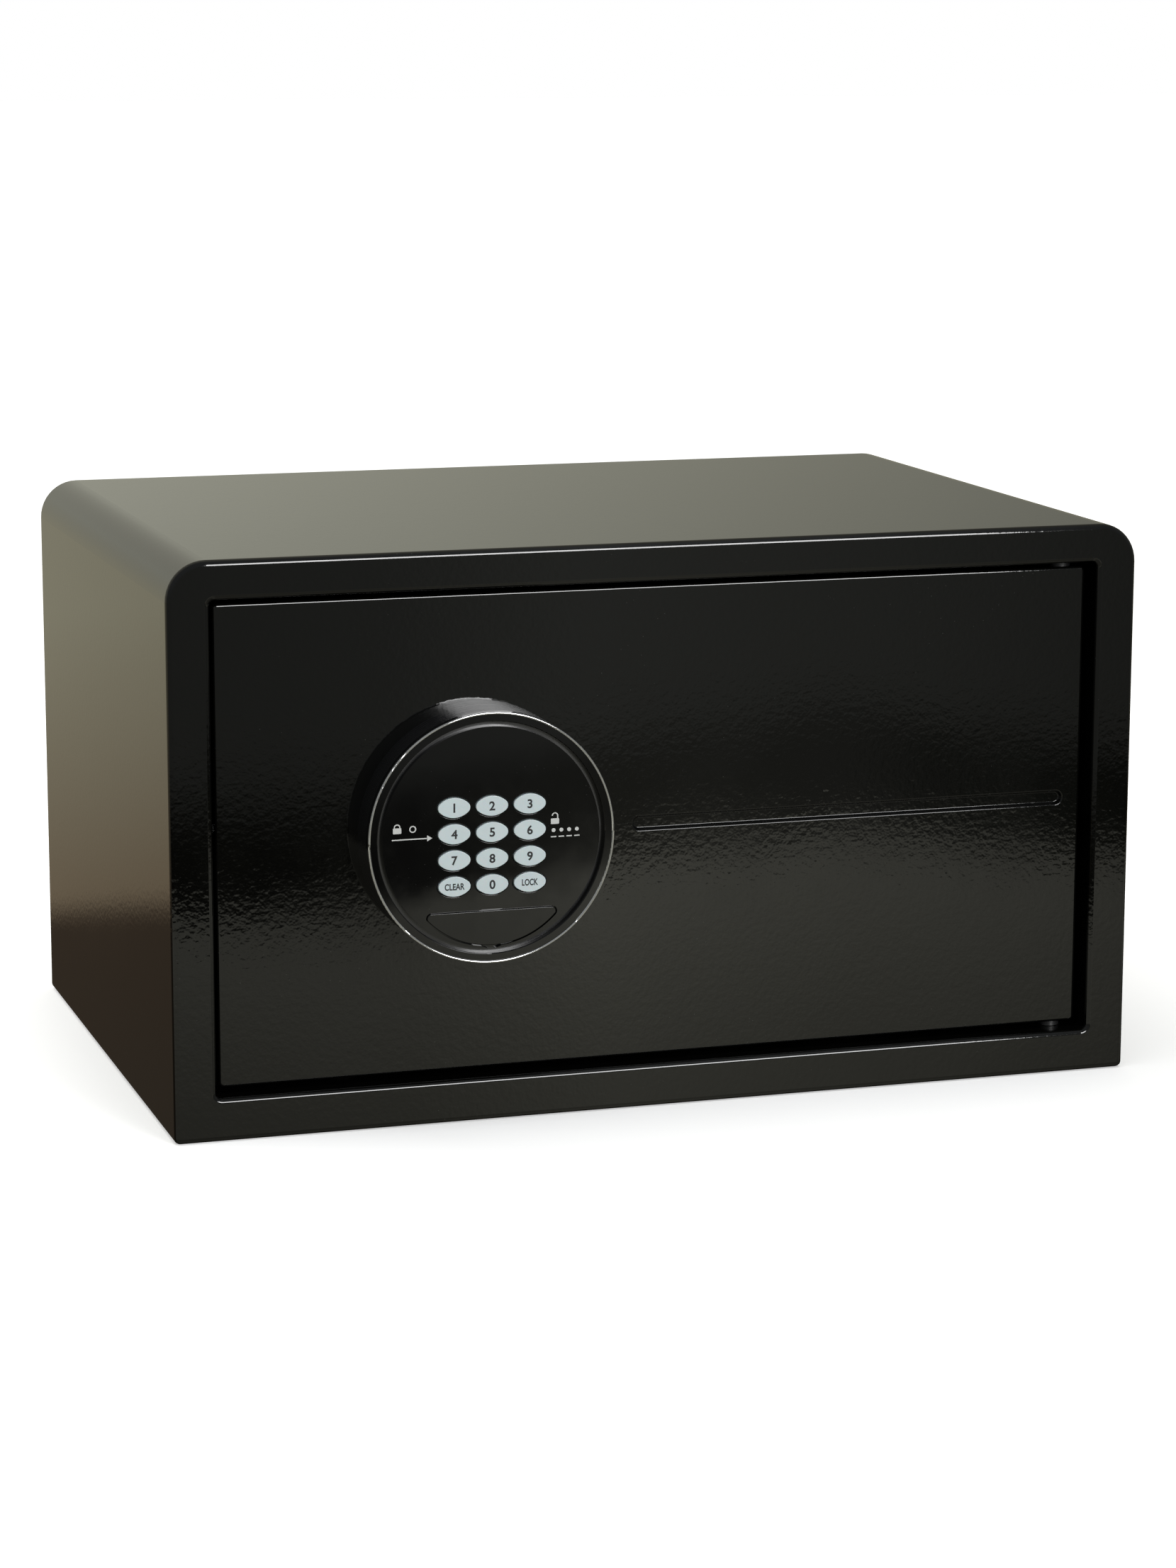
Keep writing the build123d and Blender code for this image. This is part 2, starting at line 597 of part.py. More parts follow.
def make_carriage():
    x_low, x_high, z_low, z_high = CARRIAGE
    y_back = CARRIAGE_Y + CARRIAGE_T
    with BuildPart() as carriage:
        block((x_low, CARRIAGE_Y, z_low), (x_high, y_back, z_high))
        block((x_low - CARRIAGE_T, BOLT_Y - BOLT_R, z_low), (x_low, BOLT_Y + BOLT_R, z_high))
        for z in POST_ZS:
            with BuildSketch(front_plane(CARRIAGE_Y)):
                with Locations((POST_X + BOLT_THROW / 2, z)):
                    SlotCenterToCenter(BOLT_THROW + 0.6, 2 * (POST_R + 0.06))
            extrude(amount=-CARRIAGE_T, mode=Mode.SUBTRACT)
    save(carriage.part, "bolt_carriage")
    with BuildPart() as posts:
        for z in POST_ZS:
            y_rod(POST_X, z, POST_COLLAR, LOCK_Y, CARRIAGE_Y - 0.3)
            y_rod(POST_X, z, POST_R, CARRIAGE_Y - 0.3, y_back + 0.3)
            y_rod(POST_X, z, POST_COLLAR, y_back + 0.3, y_back + 2.5)
    save(posts.part, "guide_posts")


def make_rack():
    """Straight rack on the back of the carriage; its pitch line touches the pinion's pitch circle."""
    y_front = CARRIAGE_Y + CARRIAGE_T
    pitch = pi * MODULE
    pitch_z = PINION_Z - PITCH_R
    root_z = pitch_z - 1.25 * MODULE
    slope = tan(radians(20))
    half = (pitch / 2 - BACKLASH) / 2
    first = PINION_X - 2 * pitch
    last = first + (RACK_TEETH - 1) * pitch
    with BuildPart() as rack:
        block((CARRIAGE[1] - 16, y_front, root_z - RACK_BAR), (last + 3, y_front + PINION_T, root_z))
        for index in range(RACK_TEETH):
            x = first + index * pitch
            foot = half + 1.25 * MODULE * slope
            head = half - MODULE * slope
            with BuildSketch(front_plane(y_front)):
                with BuildLine():
                    Polyline((x - foot, root_z), (x - head, pitch_z + MODULE),
                             (x + head, pitch_z + MODULE), (x + foot, root_z), close=True)
                make_face()
            extrude(amount=-PINION_T)
    save(rack.part, "bolt_rack")


def involute(base, angle):
    """Point of an involute at a roll angle, starting on the +X axis."""
    return (base * (cos(angle) + angle * sin(angle)), base * (sin(angle) - angle * cos(angle)))


def turn(point, angle):
    """Rotate a flat point about the origin."""
    x, y = point
    return (x * cos(angle) - y * sin(angle), x * sin(angle) + y * cos(angle))


def make_pinion():
    """Sixteen involute teeth; a tooth space faces straight down at rest, over a rack tooth."""
    y_front = CARRIAGE_Y + CARRIAGE_T
    base = PITCH_R * cos(radians(20))
    root = PITCH_R - 1.25 * MODULE
    outer = PITCH_R + MODULE
    roll_pitch = tan(radians(20))
    roll_outer = ((outer / base) ** 2 - 1) ** 0.5
    half_tooth = (pi * MODULE / 2 - BACKLASH) / (2 * PITCH_R)
    pitch_angle = roll_pitch - radians(20)
    steps = 5
    with BuildPart() as pinion:
        y_rod(PINION_X, PINION_Z, root, y_front, y_front + PINION_T)
        for tooth in range(TEETH):
            centre = -pi / 2 + pi / TEETH + tooth * 2 * pi / TEETH
            left = []
            for step in range(steps + 1):
                point = involute(base, roll_outer * step / steps)
                left.append(turn(point, -half_tooth - pitch_angle))
            right = [(x, -y) for x, y in reversed(left)]
            inner = (root - 0.4, left[0][1])
            outline = [inner] + left + right + [(root - 0.4, -left[0][1])]
            placed = [turn(point, centre) for point in outline]
            with BuildSketch(front_plane(y_front)):
                with BuildLine():
                    Polyline(*[(PINION_X + x, PINION_Z + z) for x, z in placed], close=True)
                make_face()
            extrude(amount=-PINION_T)
        y_rod(PINION_X, PINION_Z, 2.0, y_front, y_front + PINION_T, Mode.SUBTRACT)
    save(pinion.part, "drive_pinion")
    with BuildPart() as shaft:
        y_rod(PINION_X, PINION_Z, 2.0, LOCK_Y + 8, y_front + PINION_T + 1)
    save(shaft.part, "output_shaft")


def make_motor():
    box_low = (PINION_X - 14, LOCK_Y, PINION_Z - 6)
    box_high = (PINION_X + 14, CARRIAGE_Y - 3, PINION_Z + 34)
    with BuildPart() as gearbox:
        block(box_low, box_high)
        fillet(gearbox.edges().filter_by(Axis.Y), 2)
        y_rod(PINION_X, PINION_Z, 2.05, LOCK_Y + 7, CARRIAGE_Y - 3, Mode.SUBTRACT)
    save(gearbox.part, "gearbox")
    motor_y = (box_low[1] + box_high[1]) / 2
    motor_z = PINION_Z + 22
    with BuildPart() as motor:
        x_rod(motor_y, motor_z, 10.0, box_high[0], box_high[0] + 30)
        x_rod(motor_y, motor_z, 4.0, box_high[0] + 30, box_high[0] + 32)
        fillet(motor.edges().filter_by(GeomType.CIRCLE).sort_by(Axis.X)[-3], 1)
    save(motor.part, "lock_motor")


def make_switches():
    """Two limit switches past the right-hand edge of the carriage."""
    with BuildPart() as switches:
        for z in (158.0, 168.0):
            block((CARRIAGE[1] + 4, LOCK_Y, z), (CARRIAGE[1] + 24, CARRIAGE_Y + 6, z + 6.4))
    save(switches.part, "limit_switches")


# ================================================================ electronics
def make_electronics():
    x_low, x_high, z_low, z_high = PCB
    corners = [(x, z) for x in (x_low + 5, x_high - 5) for z in (z_low + 5, z_high - 5)]
    with BuildPart() as board:
        block((x_low, PCB_Y, z_low), (x_high, PCB_Y + BOARD_T, z_high))
        for x, z in corners:
            y_rod(x, z, 1.5, PCB_Y, PCB_Y + BOARD_T, Mode.SUBTRACT)
    save(board.part, "control_board")
    with BuildPart() as posts:
        for x, z in corners:
            y_rod(x, z, 3.0, DOOR_INNER, PCB_Y)
            y_rod(x, z, 1.5, PCB_Y, PCB_Y + BOARD_T)
            y_rod(x, z, 3.0, PCB_Y + BOARD_T, PCB_Y + BOARD_T + 1.6)
    save(posts.part, "board_posts")
    top = PCB_Y + BOARD_T
    chips = [(36, 104, 14, 14, 2.0), (66, 108, 18, 10, 4.0), (48, 142, 24, 12, 8.0), (78, 136, 10, 20, 6.0)]
    with BuildPart() as parts:
        for x, z, width, height, rise in chips:
            block((x - width / 2, top, z - height / 2), (x + width / 2, top + rise, z + height / 2))
    save(parts.part, "board_components")


def make_batteries():
    tray_w, tray_h = TRAY
    cell_y = COVER_Y - COVER_SHEET - CELL_R - 1.2
    rows = [TRAY_Z + (index - 1.5) * CELL_PITCH for index in range(4)]
    with BuildPart() as tray:
        block((TRAY_X - tray_w / 2, TRAY_BACK - 2, TRAY_Z - tray_h / 2),
              (TRAY_X + tray_w / 2, COVER_Y - COVER_SHEET - 0.5, TRAY_Z + tray_h / 2))
        for z in rows:
            x_rod(cell_y, z, CELL_R + 0.3, TRAY_X - CELL_L / 2 - 1.4, TRAY_X + CELL_L / 2 + 1.4,
                  Mode.SUBTRACT)
            block((TRAY_X - CELL_L / 2 - 1.4, cell_y, z - CELL_R - 0.3),
                  (TRAY_X + CELL_L / 2 + 1.4, COVER_Y, z + CELL_R + 0.3), Mode.SUBTRACT)
    save(tray.part, "battery_tray")
    with BuildPart() as contacts:
        for z in rows:
            for side in (-1, 1):
                x = TRAY_X + side * (CELL_L / 2 + 0.9)
                block((x - 0.4, cell_y - 5, z - 5), (x + 0.4, cell_y + 5, z + 5))
    save(contacts.part, "battery_contacts")
    end = CELL_L / 2
    with BuildPart() as cells:
        for index, z in enumerate(rows):
            nub = 1 if index % 2 else -1
            tip_low, tip_high = span(TRAY_X + nub * end, -nub * CELL_NUB)
            can_low, can_high = span(TRAY_X - nub * end, nub * (CELL_L - CELL_NUB))
            x_rod(cell_y, z, CELL_R, can_low, can_high)
            x_rod(cell_y, z, 2.7, tip_low, tip_high)
    save(cells.part, "battery_cells")
    lid_w, lid_h, lid_t = LID
    with BuildPart() as lid:
        block((TRAY_X - lid_w / 2, COVER_Y + LID_GAP, TRAY_Z - lid_h / 2),
              (TRAY_X + lid_w / 2, COVER_Y + lid_t, TRAY_Z + lid_h / 2))
        fillet(lid.edges().filter_by(Axis.Y), 3)
        chamfer(lid.faces().sort_by(Axis.Y)[-1].edges(), 0.6)
        for x in (TRAY_X - 18, TRAY_X + 18):
            for side in (-1, 1):
                z = TRAY_Z + side * (LID[1] / 2 - 5.1)
                block((x - 4, COVER_Y - COVER_SHEET - 0.3, z - 0.6), (x + 4, COVER_Y + LID_GAP, z + 0.6))
    save(lid.part, "battery_lid")


def bend_radii(points):
    """Largest tangent arc at each corner that keeps to 0.45 of the shorter run."""
    vectors = [Vector(*point) for point in points]
    radii = []
    for before, corner, after in zip(vectors, vectors[1:], vectors[2:]):
        run_in = corner - before
        run_out = after - corner
        half_turn = radians(run_in.get_angle(run_out)) / 2
        radii.append(0.45 * min(run_in.length, run_out.length) / tan(half_turn))
    return radii


def make_lead(name, points):
    """Round cable along straight runs joined by tangent arcs."""
    with BuildPart() as lead:
        with BuildLine() as route:
            FilletPolyline(*points, radius=bend_radii(points))
        path = route.wires()[0]
        with BuildSketch(Plane(path @ 0, z_dir=path % 0)):
            Circle(CABLE_R)
        sweep(path=path)
    save(lead.part, name)


def make_leads():
    lane_y = LOCK_Y + 9
    lane_z = PINION_Z + 39
    bridge_x = 34.0
    make_lead("keypad_lead",
              [(PAD_X, BOARD_Y + BOARD_T, LEAD_Z), (PAD_X, lane_y, LEAD_Z), (PAD_X + 50, lane_y, lane_z),
               (bridge_x, lane_y, lane_z - 5), (bridge_x, PCB_Y, lane_z - 5)])
    motor_end = (PINION_X + 46, LOCK_Y + 10.5, PINION_Z + 22)
    make_lead("motor_lead",
              [motor_end, (motor_end[0] + 9, motor_end[1], motor_end[2]),
               (bridge_x - 4, motor_end[1], PINION_Z + 8), (bridge_x - 4, PCB_Y, PINION_Z + 8)])
    tray_side = TRAY_X - TRAY[0] / 2
    make_lead("battery_lead",
              [(tray_side, TRAY_BACK + 5, 96.0), (tray_side - 8, TRAY_BACK + 5, 96.0),
               (tray_side - 18, TRAY_BACK + 3, 92.0), (tray_side - 18, PCB_Y + BOARD_T, 92.0)])


def main():
    make_body_shell()
    make_front_frame()
    make_back_panel()
    make_floor()
    make_hinges()
    make_door_panel()
    make_mechanism_cover()
    make_housing()
    make_trim_ring()
    make_fascia()
    make_keys()
    make_keypad_inside()
    make_service_cover()
    make_lock_plate()
    make_bolts()
    make_carriage()
    make_rack()
    make_pinion()
    make_motor()
    make_switches()
    make_electronics()
    make_batteries()
    make_leads()


main()
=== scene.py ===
# %% [markdown]
# # An in-room safe with a round keypad
# The safe is a painted steel box with a recessed door. A round keypad stands off the door on a short
# drum, and a motor inside the door throws two bolts. The steel, plastic and moving pieces come from the
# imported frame, and this lesson gives them their finishes, prints the legends, and sets a studio around.

# %% Load the frame
import json
import math

import bpy
from mathutils import Matrix, Vector


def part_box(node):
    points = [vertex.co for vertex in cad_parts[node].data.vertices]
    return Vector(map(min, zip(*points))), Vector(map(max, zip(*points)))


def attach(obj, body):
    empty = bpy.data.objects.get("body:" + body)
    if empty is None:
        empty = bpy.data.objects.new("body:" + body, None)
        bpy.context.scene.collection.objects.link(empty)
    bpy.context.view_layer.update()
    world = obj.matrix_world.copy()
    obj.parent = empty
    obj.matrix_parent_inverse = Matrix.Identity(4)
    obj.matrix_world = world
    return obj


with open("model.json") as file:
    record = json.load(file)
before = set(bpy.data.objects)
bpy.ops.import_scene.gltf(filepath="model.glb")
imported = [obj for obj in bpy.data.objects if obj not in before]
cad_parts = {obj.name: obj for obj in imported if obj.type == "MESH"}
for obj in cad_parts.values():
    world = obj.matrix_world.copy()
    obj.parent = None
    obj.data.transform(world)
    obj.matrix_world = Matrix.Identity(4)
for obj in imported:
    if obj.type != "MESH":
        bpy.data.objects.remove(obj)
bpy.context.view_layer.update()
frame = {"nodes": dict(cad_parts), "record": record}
NODES = frame["nodes"]
MM = 0.001


# %% [markdown]
# ## Camera
# The safe is seen from its left and a little above, from about a metre and a half away, through a long
# lens. Long lenses keep upright edges nearly parallel, which suits a box. The camera is placed by its
# position and three angles, because angles can be read and changed one at a time.

# %% Camera at the viewing angle
CAMERA_AT = (-0.5462, -1.7504, 0.4736)
YAW, PITCH, ROLL = 17.62, 11.087, 0.13
LENS = 93.62
camera_data = bpy.data.cameras.new("camera")
camera_data.lens = LENS
camera_data.sensor_width = 36.0
camera = bpy.data.objects.new("camera", camera_data)
bpy.context.scene.collection.objects.link(camera)
turn_down = Matrix.Rotation(math.radians(90 - PITCH), 4, "X")
turn_side = Matrix.Rotation(math.radians(-YAW), 4, "Z")
tilt = Matrix.Rotation(math.radians(ROLL), 4, "Z")
camera.matrix_world = Matrix.Translation(CAMERA_AT) @ turn_side @ turn_down @ tilt
bpy.context.scene.camera = camera
print("camera at", CAMERA_AT, "lens", LENS)


# %% [markdown]
# ## Node helpers
# A shader is a small network. Three short helpers keep each material readable: one adds a node, one
# joins two sockets, and one starts a material with its Principled shader ready.

# %% Node helpers
def add_node(tree, kind, **settings):
    """A node of one kind, with attributes set by name and inputs set by a dictionary."""
    node = tree.nodes.new(kind)
    inputs = settings.pop("inputs", {})
    for name, value in settings.items():
        setattr(node, name, value)
    for socket, value in inputs.items():
        node.inputs[socket].default_value = value
    return node


def join(tree, source, target):
    tree.links.new(source, target)


def ramp(tree, value, stops):
    """A colour ramp fed by a value. Stops are (position, colour) pairs."""
    node = add_node(tree, "ShaderNodeValToRGB")
    bar = node.color_ramp.elements
    while len(bar) > len(stops):
        bar.remove(bar[-1])
    while len(bar) < len(stops):
        bar.new(0.5)
    for element, (position, colour) in zip(bar, stops):
        element.position = position
        element.color = (*colour, 1.0)
    join(tree, value, node.inputs["Fac"])
    return node.outputs["Color"]


def remap(tree, value, low, high, to_low, to_high):
    node = add_node(tree, "ShaderNodeMapRange",
                    inputs={"From Min": low, "From Max": high, "To Min": to_low, "To Max": to_high})
    join(tree, value, node.inputs["Value"])
    return node.outputs["Result"]


# %% [markdown]
# ## Studio
# Gloss black shows almost nothing but what it reflects, so the surroundings matter more than the paint.
# The sky around the safe is painted by direction: a pale wall behind, a dark room in front, and a
# counter top below a horizon that dips a little under eye level. Its far edge rises and falls from left
# to right, and a faint haze fills the dark band above it. The eye itself sees plain white. One low and
# bright window in front draws the thin bright lines on every rounded edge, and a lamp overhead that
# reflections leave out lightens the keys.

# %% World painted by direction
HORIZON = -0.2115          # height of the counter's far edge, as the upward part of a unit direction
SKY_BAND = 0.35            # the ramps run from this far below level to this far above it
SWAY = 0.003               # how far small things on the counter lift or drop its edge
SKYLINE_RISE = 0.012       # the same for the slow rise and fall of the whole edge
SIDE_TO_SIDE = (0.19, 0.43)    # sideways parts of the directions that the door mirrors
world = bpy.data.worlds.new("studio")
world.use_nodes = True
bpy.context.scene.world = world
sky = world.node_tree
sky.nodes.clear()
direction = add_node(sky, "ShaderNodeTexCoord")
ragged = add_node(sky, "ShaderNodeTexNoise", inputs={"Scale": 14.0, "Detail": 5.0, "Roughness": 0.6})
join(sky, direction.outputs["Generated"], ragged.inputs["Vector"])
parts = add_node(sky, "ShaderNodeSeparateXYZ")
join(sky, direction.outputs["Generated"], parts.inputs["Vector"])
sway = remap(sky, ragged.outputs["Fac"], 0.3, 0.7, -SWAY, SWAY)
sideways = remap(sky, parts.outputs["X"], *SIDE_TO_SIDE, 0.0, 1.0)
skyline = ramp(sky, sideways, [
    (0.20, (0.92, 0.92, 0.92)), (0.42, (0.52, 0.52, 0.52)), (0.68, (0.04, 0.04, 0.04)),
    (0.85, (0.29, 0.29, 0.29)), (1.0, (0.33, 0.33, 0.33)),
])
step = remap(sky, skyline, 0.0, 1.0, -SKYLINE_RISE, SKYLINE_RISE)
height = add_node(sky, "ShaderNodeMath", operation="ADD")
join(sky, parts.outputs["Z"], height.inputs[0])
join(sky, sway, height.inputs[1])
stepped = add_node(sky, "ShaderNodeMath", operation="ADD")
join(sky, height.outputs["Value"], stepped.inputs[0])
join(sky, step, stepped.inputs[1])
climb = remap(sky, stepped.outputs["Value"], -SKY_BAND, SKY_BAND, 0.0, 1.0)


def climb_stop(z):
    """Place on the ramps of a direction whose upward part is z."""
    return (z + SKY_BAND) / (2 * SKY_BAND)


front_room = ramp(sky, climb, [
    (0.0, (0.30, 0.295, 0.245)),
    (climb_stop(-0.26), (0.46, 0.455, 0.38)),
    (climb_stop(HORIZON - 0.0010), (0.78, 0.775, 0.66)),
    (climb_stop(HORIZON + 0.0008), (0.004, 0.004, 0.002)),
    (climb_stop(-0.193), (0.02, 0.02, 0.012)),
    (climb_stop(-0.180), (0.25, 0.255, 0.23)),
    (1.0, (0.31, 0.325, 0.33)),
])
back_wall = ramp(sky, climb, [
    (0.0, (0.05, 0.045, 0.035)),
    (climb_stop(HORIZON - 0.003), (0.075, 0.055, 0.038)),
    (climb_stop(HORIZON + 0.003), (0.30, 0.235, 0.155)),
    (climb_stop(-0.14), (0.50, 0.47, 0.34)),
    (climb_stop(0.14), (0.56, 0.56, 0.465)),
    (1.0, (0.50, 0.49, 0.41)),
])
across = remap(sky, parts.outputs["X"], 0.17, 0.42, 1.0, 0.46)
shaded_wall = add_node(sky, "ShaderNodeVectorMath", operation="SCALE")
join(sky, back_wall, shaded_wall.inputs[0])
join(sky, across, shaded_wall.inputs["Scale"])
arch = ramp(sky, sideways, [
    (0.0, (0.80, 0.80, 0.80)), (0.25, (0.92, 0.92, 0.92)), (0.45, (1.42, 1.42, 1.42)),
    (0.75, (1.12, 1.12, 1.12)), (1.0, (0.72, 0.72, 0.72)),
])
shaped_room = add_node(sky, "ShaderNodeVectorMath", operation="MULTIPLY")
join(sky, front_room, shaped_room.inputs[0])
join(sky, arch, shaped_room.inputs[1])
haze = ramp(sky, sideways, [
    (0.0, (0.0, 0.0, 0.0)), (0.20, (0.01, 0.01, 0.008)), (0.42, (0.17, 0.17, 0.14)),
    (0.70, (0.17, 0.17, 0.15)), (0.85, (0.04, 0.045, 0.035)), (1.0, (0.02, 0.02, 0.012)),
])
hazy_room = add_node(sky, "ShaderNodeVectorMath", operation="MAXIMUM")
join(sky, shaped_room.outputs["Vector"], hazy_room.inputs[0])
join(sky, haze, hazy_room.inputs[1])
behind = remap(sky, parts.outputs["Y"], -0.15, 0.15, 0.0, 1.0)
around = add_node(sky, "ShaderNodeMix", data_type="RGBA")
join(sky, behind, around.inputs["Factor"])
join(sky, hazy_room.outputs["Vector"], around.inputs["A"])
join(sky, shaded_wall.outputs["Vector"], around.inputs["B"])
seen = add_node(sky, "ShaderNodeLightPath")
shown = add_node(sky, "ShaderNodeMix", data_type="RGBA", inputs={"B": (1.0, 1.0, 1.0, 1.0)})
join(sky, seen.outputs["Is Camera Ray"], shown.inputs["Factor"])
join(sky, around.outputs["Result"], shown.inputs["A"])
sky_shader = add_node(sky, "ShaderNodeBackground")
join(sky, shown.outputs["Result"], sky_shader.inputs["Color"])
sky_out = add_node(sky, "ShaderNodeOutputWorld")
join(sky, sky_shader.outputs["Background"], sky_out.inputs["Surface"])
bpy.context.scene.view_settings.view_transform = "Standard"
print("world nodes:", len(sky.nodes))


# %% A bright low window in front and a weak lamp overhead
def soft_lamp(name, place, aim, size, watts):
    """A rectangular lamp at a place, facing a point."""
    data = bpy.data.lights.new(name, "AREA")
    data.shape = "RECTANGLE"
    data.size = size[0]
    data.size_y = size[1]
    data.energy = watts
    lamp = bpy.data.objects.new(name, data)
    bpy.context.scene.collection.objects.link(lamp)
    lamp.location = place
    lamp.rotation_euler = (Vector(aim) - Vector(place)).to_track_quat("-Z", "Y").to_euler()
    return lamp


window_lamp = soft_lamp("window_lamp", (0.80, -2.75, 0.82), (0.0, -0.14, 0.13), (0.95, 0.92), 47.0)
overhead = soft_lamp("overhead_lamp", (-0.10, -0.10, 1.6), (0.0, 0.0, 0.0), (1.6, 1.2), 19.0)
overhead.visible_glossy = False
print("lamps:", window_lamp.name, overhead.name)


# %% [markdown]
# The floor is one large pale sheet. It takes the soft shadow under the box, but it is kept out of
# reflections, because the counter that the paint mirrors is already in the world. It glows more with
# distance from the lit side of the box, so it runs into the white behind it with no edge.

# %% Pale floor
FLOOR_SIZE = 30.0
FLOOR_DROP = 0.0002        # keeps the floor off the underside of the box
LIT_SIDE = (0.12, -0.05, 0.0)
bpy.ops.object.select_all(action="DESELECT")
bpy.ops.mesh.primitive_plane_add(size=FLOOR_SIZE, location=(0, 0, -FLOOR_DROP))
floor = bpy.context.object
floor.name = "studio_floor"
floor_paint = bpy.data.materials.new("pale_floor")
floor_paint.use_nodes = True
floor_tree = floor_paint.node_tree
floor_shader = floor_tree.nodes["Principled BSDF"]
floor_shader.inputs["Base Color"].default_value = (0.86, 0.86, 0.86, 1)
floor_shader.inputs["Roughness"].default_value = 0.9
floor_shader.inputs["Emission Color"].default_value = (1, 1, 1, 1)
spot = add_node(floor_tree, "ShaderNodeTexCoord")
from_lit_side = add_node(floor_tree, "ShaderNodeVectorMath", operation="DISTANCE")
from_lit_side.inputs[1].default_value = LIT_SIDE
join(floor_tree, spot.outputs["Object"], from_lit_side.inputs[0])
lift = remap(floor_tree, from_lit_side.outputs["Value"], 0.25, 0.55, 0.34, 0.80)
join(floor_tree, lift, floor_shader.inputs["Emission Strength"])
floor.data.materials.append(floor_paint)
floor.visible_glossy = False
floor.visible_diffuse = False
print("floor ready")


# %% [markdown]
# ## Shared effects
# Real finishes are never perfectly even, and the same few effects come back on many pieces: the fine
# ripple of powder coat, handling smudges, specks of dust, wear on edges, and the grain of drawn or
# turned metal. Each is built once as a node group that gives out a mask or a height, so a material
# only chooses how strong it is.

# %% Group builder
def effect(name, inputs, outputs):
    """A new shader group with named inputs (name, default) and named outputs."""
    group = bpy.data.node_groups.new(name, "ShaderNodeTree")
    for label, default in inputs:
        socket = group.interface.new_socket(label, in_out="INPUT", socket_type="NodeSocketFloat")
        socket.default_value = default
    for label in outputs:
        group.interface.new_socket(label, in_out="OUTPUT", socket_type="NodeSocketFloat")
    start = group.nodes.new("NodeGroupInput")
    end = group.nodes.new("NodeGroupOutput")
    place = group.nodes.new("ShaderNodeTexCoord")
    return group, start.outputs, end.inputs, place.outputs["Object"]


def noise(tree, where, scale, detail=2.0, roughness=0.5, stretch=None):
    """Noise over object space. Scale is per metre, as a number or a socket."""
    node = add_node(tree, "ShaderNodeTexNoise", inputs={"Detail": detail, "Roughness": roughness})
    if isinstance(scale, (int, float)):
        node.inputs["Scale"].default_value = scale
    else:
        join(tree, scale, node.inputs["Scale"])
    if stretch:
        mapping = add_node(tree, "ShaderNodeMapping", inputs={"Scale": stretch})
        join(tree, where, mapping.inputs["Vector"])
        where = mapping.outputs["Vector"]
    join(tree, where, node.inputs["Vector"])
    return node.outputs["Fac"]


def math_node(tree, operation, first, second):
    node = add_node(tree, "ShaderNodeMath", operation=operation)
    for slot, value in zip(node.inputs, (first, second)):
        if isinstance(value, (int, float)):
            slot.default_value = value
        else:
            join(tree, value, slot)
    return node.outputs["Value"]


# %% Orange peel: the ripple of sprayed and baked powder
peel, p_in, p_out, p_at = effect("orange_peel", [("Scale", 620.0), ("Ripple", 0.25)], ["Height"])
fine = noise(peel, p_at, p_in["Scale"], detail=1.5)
broad = noise(peel, p_at, 95.0, detail=1.0)
join(peel, math_node(peel, "ADD", fine, math_node(peel, "MULTIPLY", broad, p_in["Ripple"])), p_out["Height"])
print("group:", peel.name)

# %% Smudges: soft patches where hands and cloths have been
smudge, s_in, s_out, s_at = effect("smudges", [("Scale", 14.0)], ["Mask"])
cloud = noise(smudge, s_at, s_in["Scale"], detail=6.0, roughness=0.62)
join(smudge, remap(smudge, cloud, 0.42, 0.68, 0.0, 1.0), s_out["Mask"])
print("group:", smudge.name)

# %% Dust: sparse specks
dust, d_in, d_out, d_at = effect("dust_specks", [("Scale", 260.0), ("Size", 0.07)], ["Mask"])
cells = add_node(dust, "ShaderNodeTexVoronoi", feature="F1")
join(dust, d_at, cells.inputs["Vector"])
join(dust, d_in["Scale"], cells.inputs["Scale"])
speck = math_node(dust, "LESS_THAN", cells.outputs["Distance"], d_in["Size"])
patchy = remap(dust, noise(dust, d_at, 22.0), 0.52, 0.6, 0.0, 1.0)
join(dust, math_node(dust, "MULTIPLY", speck, patchy), d_out["Mask"])
print("group:", dust.name)

# %% Edge wear: where the rounded normal leaves the true one
wear, w_in, w_out, w_at = effect("edge_wear", [("Radius", 0.0008), ("Amount", 1.0)], ["Mask"])
soft = add_node(wear, "ShaderNodeBevel", samples=4)
join(wear, w_in["Radius"], soft.inputs["Radius"])
true = add_node(wear, "ShaderNodeNewGeometry")
same = add_node(wear, "ShaderNodeVectorMath", operation="DOT_PRODUCT")
join(wear, soft.outputs["Normal"], same.inputs[0])
join(wear, true.outputs["Normal"], same.inputs[1])
turned = remap(wear, same.outputs["Value"], 0.98, 0.80, 0.0, 1.0)
broken = remap(wear, noise(wear, w_at, 420.0, detail=4.0), 0.40, 0.62, 0.0, 1.0)
worn = math_node(wear, "MULTIPLY", math_node(wear, "MULTIPLY", turned, broken), w_in["Amount"])
join(wear, worn, w_out["Mask"])
print("group:", wear.name)

# %% Grain: fine lines along X, Y or Z, from how the metal or plastic was worked
grain, g_in, g_out, g_at = effect("drawn_grain", [("Across", 3200.0), ("Along", 60.0)], ["Height"])
split = add_node(grain, "ShaderNodeSeparateXYZ")
join(grain, g_at, split.inputs["Vector"])
stretched = add_node(grain, "ShaderNodeCombineXYZ")
join(grain, math_node(grain, "MULTIPLY", split.outputs["X"], g_in["Along"]), stretched.inputs["X"])
join(grain, math_node(grain, "MULTIPLY", split.outputs["Y"], g_in["Across"]), stretched.inputs["Y"])
join(grain, math_node(grain, "MULTIPLY", split.outputs["Z"], g_in["Across"]), stretched.inputs["Z"])
join(grain, noise(grain, stretched.outputs["Vector"], 1.0, detail=3.0), g_out["Height"])
print("group:", grain.name)


